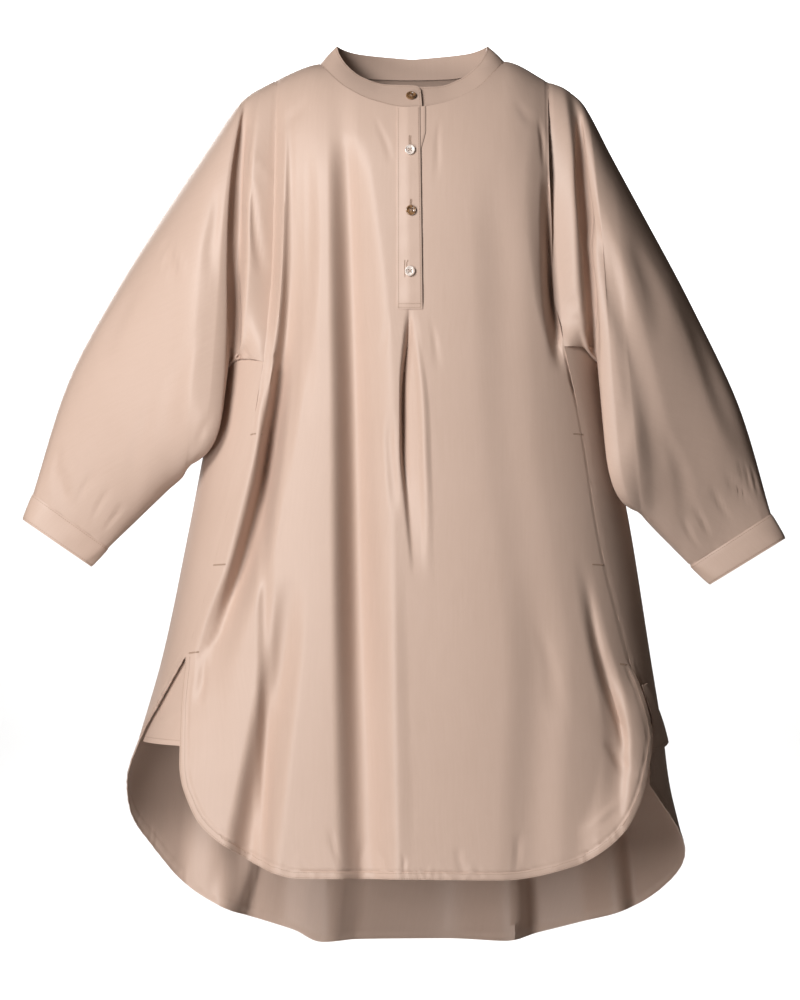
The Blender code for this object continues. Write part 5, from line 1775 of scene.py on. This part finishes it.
# ---------------------------------------------------------------- the whole dress
@dataclass
class Dress:
    """All of the dress, piece by piece."""

    torso: Torso = field(default_factory=Torso)
    plan: Plan = field(default_factory=Plan)
    seam_gap: float = 0.24
    cuff_proud: float = 0.9
    shells: dict[str, Shell] = field(default_factory=dict)

    def share_normals(self, shells: Sequence[Shell]) -> None:
        """Turns the points that different pieces have at one place the same way."""
        places: dict[tuple[float, ...], list[tuple[Shell, tuple[int, int]]]] = {}
        for shell in shells:
            rows, columns = shell.grid.shape[:2]
            keys = np.round(shell.grid, 2).reshape(-1, 3).tolist()
            for k, key in enumerate(keys):
                if key[0] == key[0]:
                    places.setdefault(tuple(key), []).append((shell, (k // columns, k % columns)))
        for meeting in places.values():
            if len(meeting) > 1:
                mean = unit(sum(shell.normals[spot] for shell, spot in meeting))
                for shell, spot in meeting:
                    shell.normals[spot] = mean

    def build_cloth(self) -> None:
        """The front, the back, the sleeves and the cuffs, with their creases and turned edges."""
        front, back = Front(self.torso, self.plan), Back(self.torso, self.plan)
        front_points, back_points = front.grid(), back.grid()
        self.shells["front"] = Shell("front_cloth", front_points, grid_normals(front_points, False))
        self.shells["back"] = Shell("back_cloth", back_points, -grid_normals(back_points, False))
        sleeves = {side: Sleeve(self.torso, self.plan, side) for side in Side}
        for side, sleeve in sleeves.items():
            name = side.name.lower()
            for kind, points in (("sleeve", sleeve.grid()), ("cuff", sleeve.cuff_grid())):
                out = -int(side) * grid_normals(points, True)
                self.shells[f"{kind}_{name}"] = Shell(f"{kind}_{name}_cloth", points, out, closed=True)
        self.share_normals(list(self.shells.values()))
        self._seams(front, back)
        self.shells["front"].crease(FRONT_CREASES, True)
        self.shells["back"].crease(BACK_CREASES, False)
        for side in Side:
            sleeve = self.shells[f"sleeve_{side.name.lower()}"]
            sleeve.crease(SLEEVE_CREASES[side], True)
            sleeve.crease(SLEEVE_BACK_CREASES[side], False)
        front.hem.press(self.shells["front"], front.free_edge(self.shells["front"])[0])
        back.hem.press(self.shells["back"], back.free_edge(self.shells["back"])[0])
        self._finish_cloth(front, back)

    def _seams(self, front: Front, back: Back) -> None:
        """Presses the seams in, each line of both pieces alike."""
        parts = self.shells
        for at in (0, -1):
            front.seam.press(parts["front"], front.seam_edge(parts["front"], at)[0].copy())
        for side in Side:
            edge = back.seam_edge(parts["back"], side)[0].copy()
            back.seam.press(parts["back"], edge)
            sleeve = parts[f"sleeve_{side.name.lower()}"]
            line = np.concatenate([sleeve.grid[0], sleeve.grid[0][:1]])
            EdgeFinish(1.0, 0.0, 0.9, 0.45, 13.0, 20 + int(side)).press(sleeve, line)
            line = np.concatenate([sleeve.grid[-1], sleeve.grid[-1][:1]])
            EdgeFinish(1.2, 0.0, 0.9, 0.9, 9.0, 30 + int(side)).press(sleeve, line)

    def _finish_cloth(self, front: Front, back: Back) -> None:
        """Makes the meshes and their stitching."""
        parts = self.shells
        for name in ("front", "back"):
            parts[name].build(SATEEN, "sateen", f"{name}_panel")
        for side in Side:
            name = side.name.lower()
            parts[f"sleeve_{name}"].build(SATEEN, "sateen", f"sleeve_{name}")
            cuff = parts[f"cuff_{name}"]
            rows = len(cuff.grid)
            t = np.linspace(0, 1, rows)
            proud = self.cuff_proud * np.minimum(1, np.minimum(t, 1 - t) * 6 + 0.25)
            wander = 0.3 * np.sin(np.arange(cuff.grid.shape[1]) * 0.37 + t[:, None] * 3)
            cuff.grid = cuff.grid + cuff.normals * (proud[:, None] + wander * (t > 0)[:, None])[..., None]
            cuff.normals = -int(side) * grid_normals(cuff.grid, True)
            cuff.thick = 1.9
            cuff.build(SATEEN, "sateen", f"cuff_{name}")
            rows = Stitching(f"cuff_{name}_stitching")
            tree = cuff.tree()
            closed = [0, *range(1, cuff.grid.shape[1]), 0]
            for k in (1, -2):
                rows.row(cuff.grid[k][closed], tree, cuff.normals[k][closed])
            rows.build()
        for name, panel in (("front", front), ("back", back)):
            shell = parts[name]
            edge, out = panel.free_edge(shell)
            middle = np.array([0.0, edge[:, 1].mean(), -700.0])
            tree = shell.tree()
            rows = Stitching(f"{name}_hem_stitching")
            for off in (1.3, panel.hem.band - 1.2):
                rows.row(inset_line(edge, out, middle - edge, off), tree, out)
            rows.build()

    def build_collar(self) -> None:
        """The collar with a row of stitches beside each of its edges."""
        shell = Collar(self.torso).shell()
        shell.build(SATEEN, "sateen", "collar")
        self.shells["collar"] = shell
        rows = Stitching("collar_stitching")
        tree = shell.tree()
        for k in (1, -2):
            rows.row(shell.grid[k], tree, shell.normals[k])
        rows.row(shell.grid[1:-1, 1], tree, shell.normals[1:-1, 1])
        rows.build()

    def build_placket(self) -> None:
        """Both strips, their stitching, the buttonholes and the tack across the lower end."""
        placket = Placket(self.torso)
        under = placket.strip(placket.under_left, UNDER_RIGHT, placket.under_bottom, placket.under_lift, "placket_lower")
        under.build(SATEEN, "sateen", "placket_under")
        over = placket.strip(placket.over_left, PLACKET_RIGHT, placket.over_bottom, placket.over_lift, "placket_upper")
        over.build(SATEEN, "sateen", "placket_over")
        self.shells["placket"] = over
        self.shells["placket_lower"] = under
        rows = Stitching("placket_stitching")
        tree = over.tree()
        for k in (2, -3):
            rows.row(over.grid[1:-1, k], tree, over.normals[1:-1, k])
        for k in (-2, -5):
            rows.row(over.grid[k, 1:-1], tree, over.normals[k, 1:-1])
        rows.build()
        holes = Stitching("buttonholes")
        for place in BUTTONS[1:]:
            for turn in (-1, 1):
                for drop in np.arange(-9.5, 9.6, 0.62):
                    point = np.array([place.x + turn * 0.75, -90.0, -(place.drop + drop)])
                    found, normal, _, _ = tree.find_nearest(point)
                    out = np.array(normal) * (-1 if normal[1] > 0 else 1)
                    holes.stitch(np.array(found), np.array([1.0, 0, 0]), out, 1.5, 0.27)
        holes.build()

    def build_buttons(self) -> None:
        """The four buttons, one on the collar."""
        tree, collar = self.shells["placket"].tree(), self.shells["collar"]
        for number, place in enumerate(BUTTONS, 1):
            if place.on_collar:
                middle = collar.grid[6:8, 5:7].reshape(-1, 3).mean(0)
                out = unit(collar.normals[6:8, 5:7].reshape(-1, 3).mean(0))
            else:
                found, normal, _, _ = tree.find_nearest(np.array([place.x, -120.0, -place.drop]))
                middle = np.array(found)
                out = np.array(normal) * (-1 if normal[1] > 0 else 1)
            finish = TORTOISE if place.dark else SHELL
            slot = "button_tortoise" if place.dark else "button_shell"
            Button().build(f"button_{number}_turned", f"button_{number}", middle + out * 0.3, out, finish, slot)

    def build_gussets(self) -> None:
        """Both gussets, stitched along their lower edges."""
        gussets = Gussets(self.torso)
        for side, shell in ((Side.LEFT, gussets.left()), (Side.RIGHT, gussets.right())):
            name = side.name.lower()
            shell.build(SATEEN, "sateen", f"gusset_{name}")
            self.shells[f"gusset_{name}"] = shell
            rows = Stitching(f"gusset_{name}_stitching")
            rows.row(shell.grid[-4], shell.tree(), shell.normals[-4])
            rows.build()

    def build_tacks(self) -> None:
        """The bar tacks at the ends of the pocket mouths and at the tops of the vents."""
        tree = self.shells["front"].tree()
        tacks = Stitching("bar_tacks")
        places = (Crease(-230, 579, -215, 578, 0, 2.2), Crease(-186, 427, -172, 426, 0, 2.2),
                  Crease(226, 579, 212, 578, 0, 2.2), Crease(203, 427, 190, 426, 0, 2.2),
                  Crease(-259, 682, -246, 680, 0, 2.4), Crease(256, 696, 244, 694, 0, 2.4))
        for place in places:
            start, end = (self.torso.flared_front(np.array(x, float), np.array(drop, float))
                          for x, drop in ((place.x, place.drop), (place.end_x, place.end_drop)))
            tacks.tack(start, end, tree, place.wide)
        tacks.build()


@dataclass
class Studio:
    """A pale sweep, soft light from the viewer's upper left, and a level camera far in front."""

    picture: tuple[int, int] = (800, 1000)
    millimetres_per_pixel: float = 1.17
    middle: tuple[float, float] = (-11.7, -503.1)
    distance: float = 20.0
    sensor: float = 36.0
    sweep_half: float = 1.5
    sweep_start: float = 21.5
    floor: float = -1.9

    def sweep(self) -> None:
        """The floor, which curves up behind."""
        start, radius = self.sweep_start, 0.8
        profile = [(-1.2, self.floor), (start, self.floor)]
        profile += [(start + radius * math.sin(a), self.floor + radius * (1 - math.cos(a)))
                    for a in np.linspace(0.05, math.pi / 2, 18)]
        profile.append((start + radius, 1.6))
        data = bpy.data.meshes.new("floor")
        points = [(x, y, z) for y, z in profile for x in (-self.sweep_half, self.sweep_half)]
        faces = [(2 * k, 2 * k + 1, 2 * k + 3, 2 * k + 2) for k in range(len(profile) - 1)]
        data.from_pydata(points, [], faces)
        data.shade_smooth()
        material = bpy.data.materials.new("pale_floor")
        material.use_nodes = True
        shader = material.node_tree.nodes["Principled BSDF"]
        shader.inputs["Base Color"].default_value = (0.93, 0.93, 0.93, 1)
        shader.inputs["Roughness"].default_value = 0.9
        shader.inputs["Specular IOR Level"].default_value = 0.1
        data.materials.append(material)
        floor = bpy.data.objects.new("floor", data)
        bpy.context.scene.collection.objects.link(floor)

    def lamp(self, name: str, place: tuple[float, float, float], toward: tuple[float, float, float], size: float,
             power: float) -> None:
        """One soft square lamp.

        Args:
            name: its name.
            place: where it stands, in metres.
            toward: what it points at.
            size: the length of its side.
            power: in watts.
        """
        data = bpy.data.lights.new(name, "AREA")
        data.size, data.energy = size, power
        lamp = bpy.data.objects.new(name, data)
        lamp.location = place
        lamp.rotation_mode = "QUATERNION"
        aim = Vector(toward) - Vector(place)
        lamp.rotation_quaternion = aim.to_track_quat("-Z", "Y")
        bpy.context.scene.collection.objects.link(lamp)

    def light(self) -> None:
        """The key light, a weak fill, a light for the backdrop and the room's own light."""
        self.lamp("key", (-1.45, -2.35, 0.8), (0.0, 0.0, -0.2), 1.0, 88.0)
        self.lamp("low_key", (-1.5, -2.7, -0.9), (0.0, 0.0, -0.8), 0.9, 40.0)
        self.lamp("front_fill", (-0.6, -5.5, 0.6), (0.0, 0.0, -0.5), 2.0, 5.0)
        self.lamp("back_light", (-1.2, 3.0, 0.5), (0.0, 0.0, -0.5), 1.2, 40.0)
        self.lamp("backdrop", (0.0, 20.3, 1.9), (0.0, 22.3, -0.7), 1.6, 190.0)
        world = bpy.data.worlds.new("room")
        world.use_nodes = True
        world.node_tree.nodes["Background"].inputs["Color"].default_value = (1, 0.85, 0.72, 1)
        world.node_tree.nodes["Background"].inputs["Strength"].default_value = 0.045
        bpy.context.scene.world = world

    def camera(self) -> None:
        """The level camera, whose frame takes in the picture at the dress's own depth."""
        data = bpy.data.cameras.new("camera")
        data.sensor_width = self.sensor
        tall = self.picture[1] * self.millimetres_per_pixel * MM
        data.lens = self.sensor * self.distance / tall
        data.clip_end = 60
        camera = bpy.data.objects.new("camera", data)
        camera.location = (self.middle[0] * MM, -self.distance, self.middle[1] * MM)
        camera.rotation_euler = (math.pi / 2, 0, 0)
        bpy.context.scene.collection.objects.link(camera)
        bpy.context.scene.camera = camera
        bpy.context.scene.view_settings.view_transform = "Standard"

    def build(self) -> None:
        """The whole studio."""
        self.sweep()
        self.light()
        self.camera()


def main() -> None:
    """Builds the studio and the dress."""
    logging.basicConfig(level=logging.INFO, format="%(name)s %(message)s")
    Studio().build()
    dress = Dress()
    dress.build_cloth()
    dress.build_collar()
    dress.build_placket()
    dress.build_buttons()
    dress.build_gussets()
    dress.build_tacks()


if __name__ == "__main__":
    main()
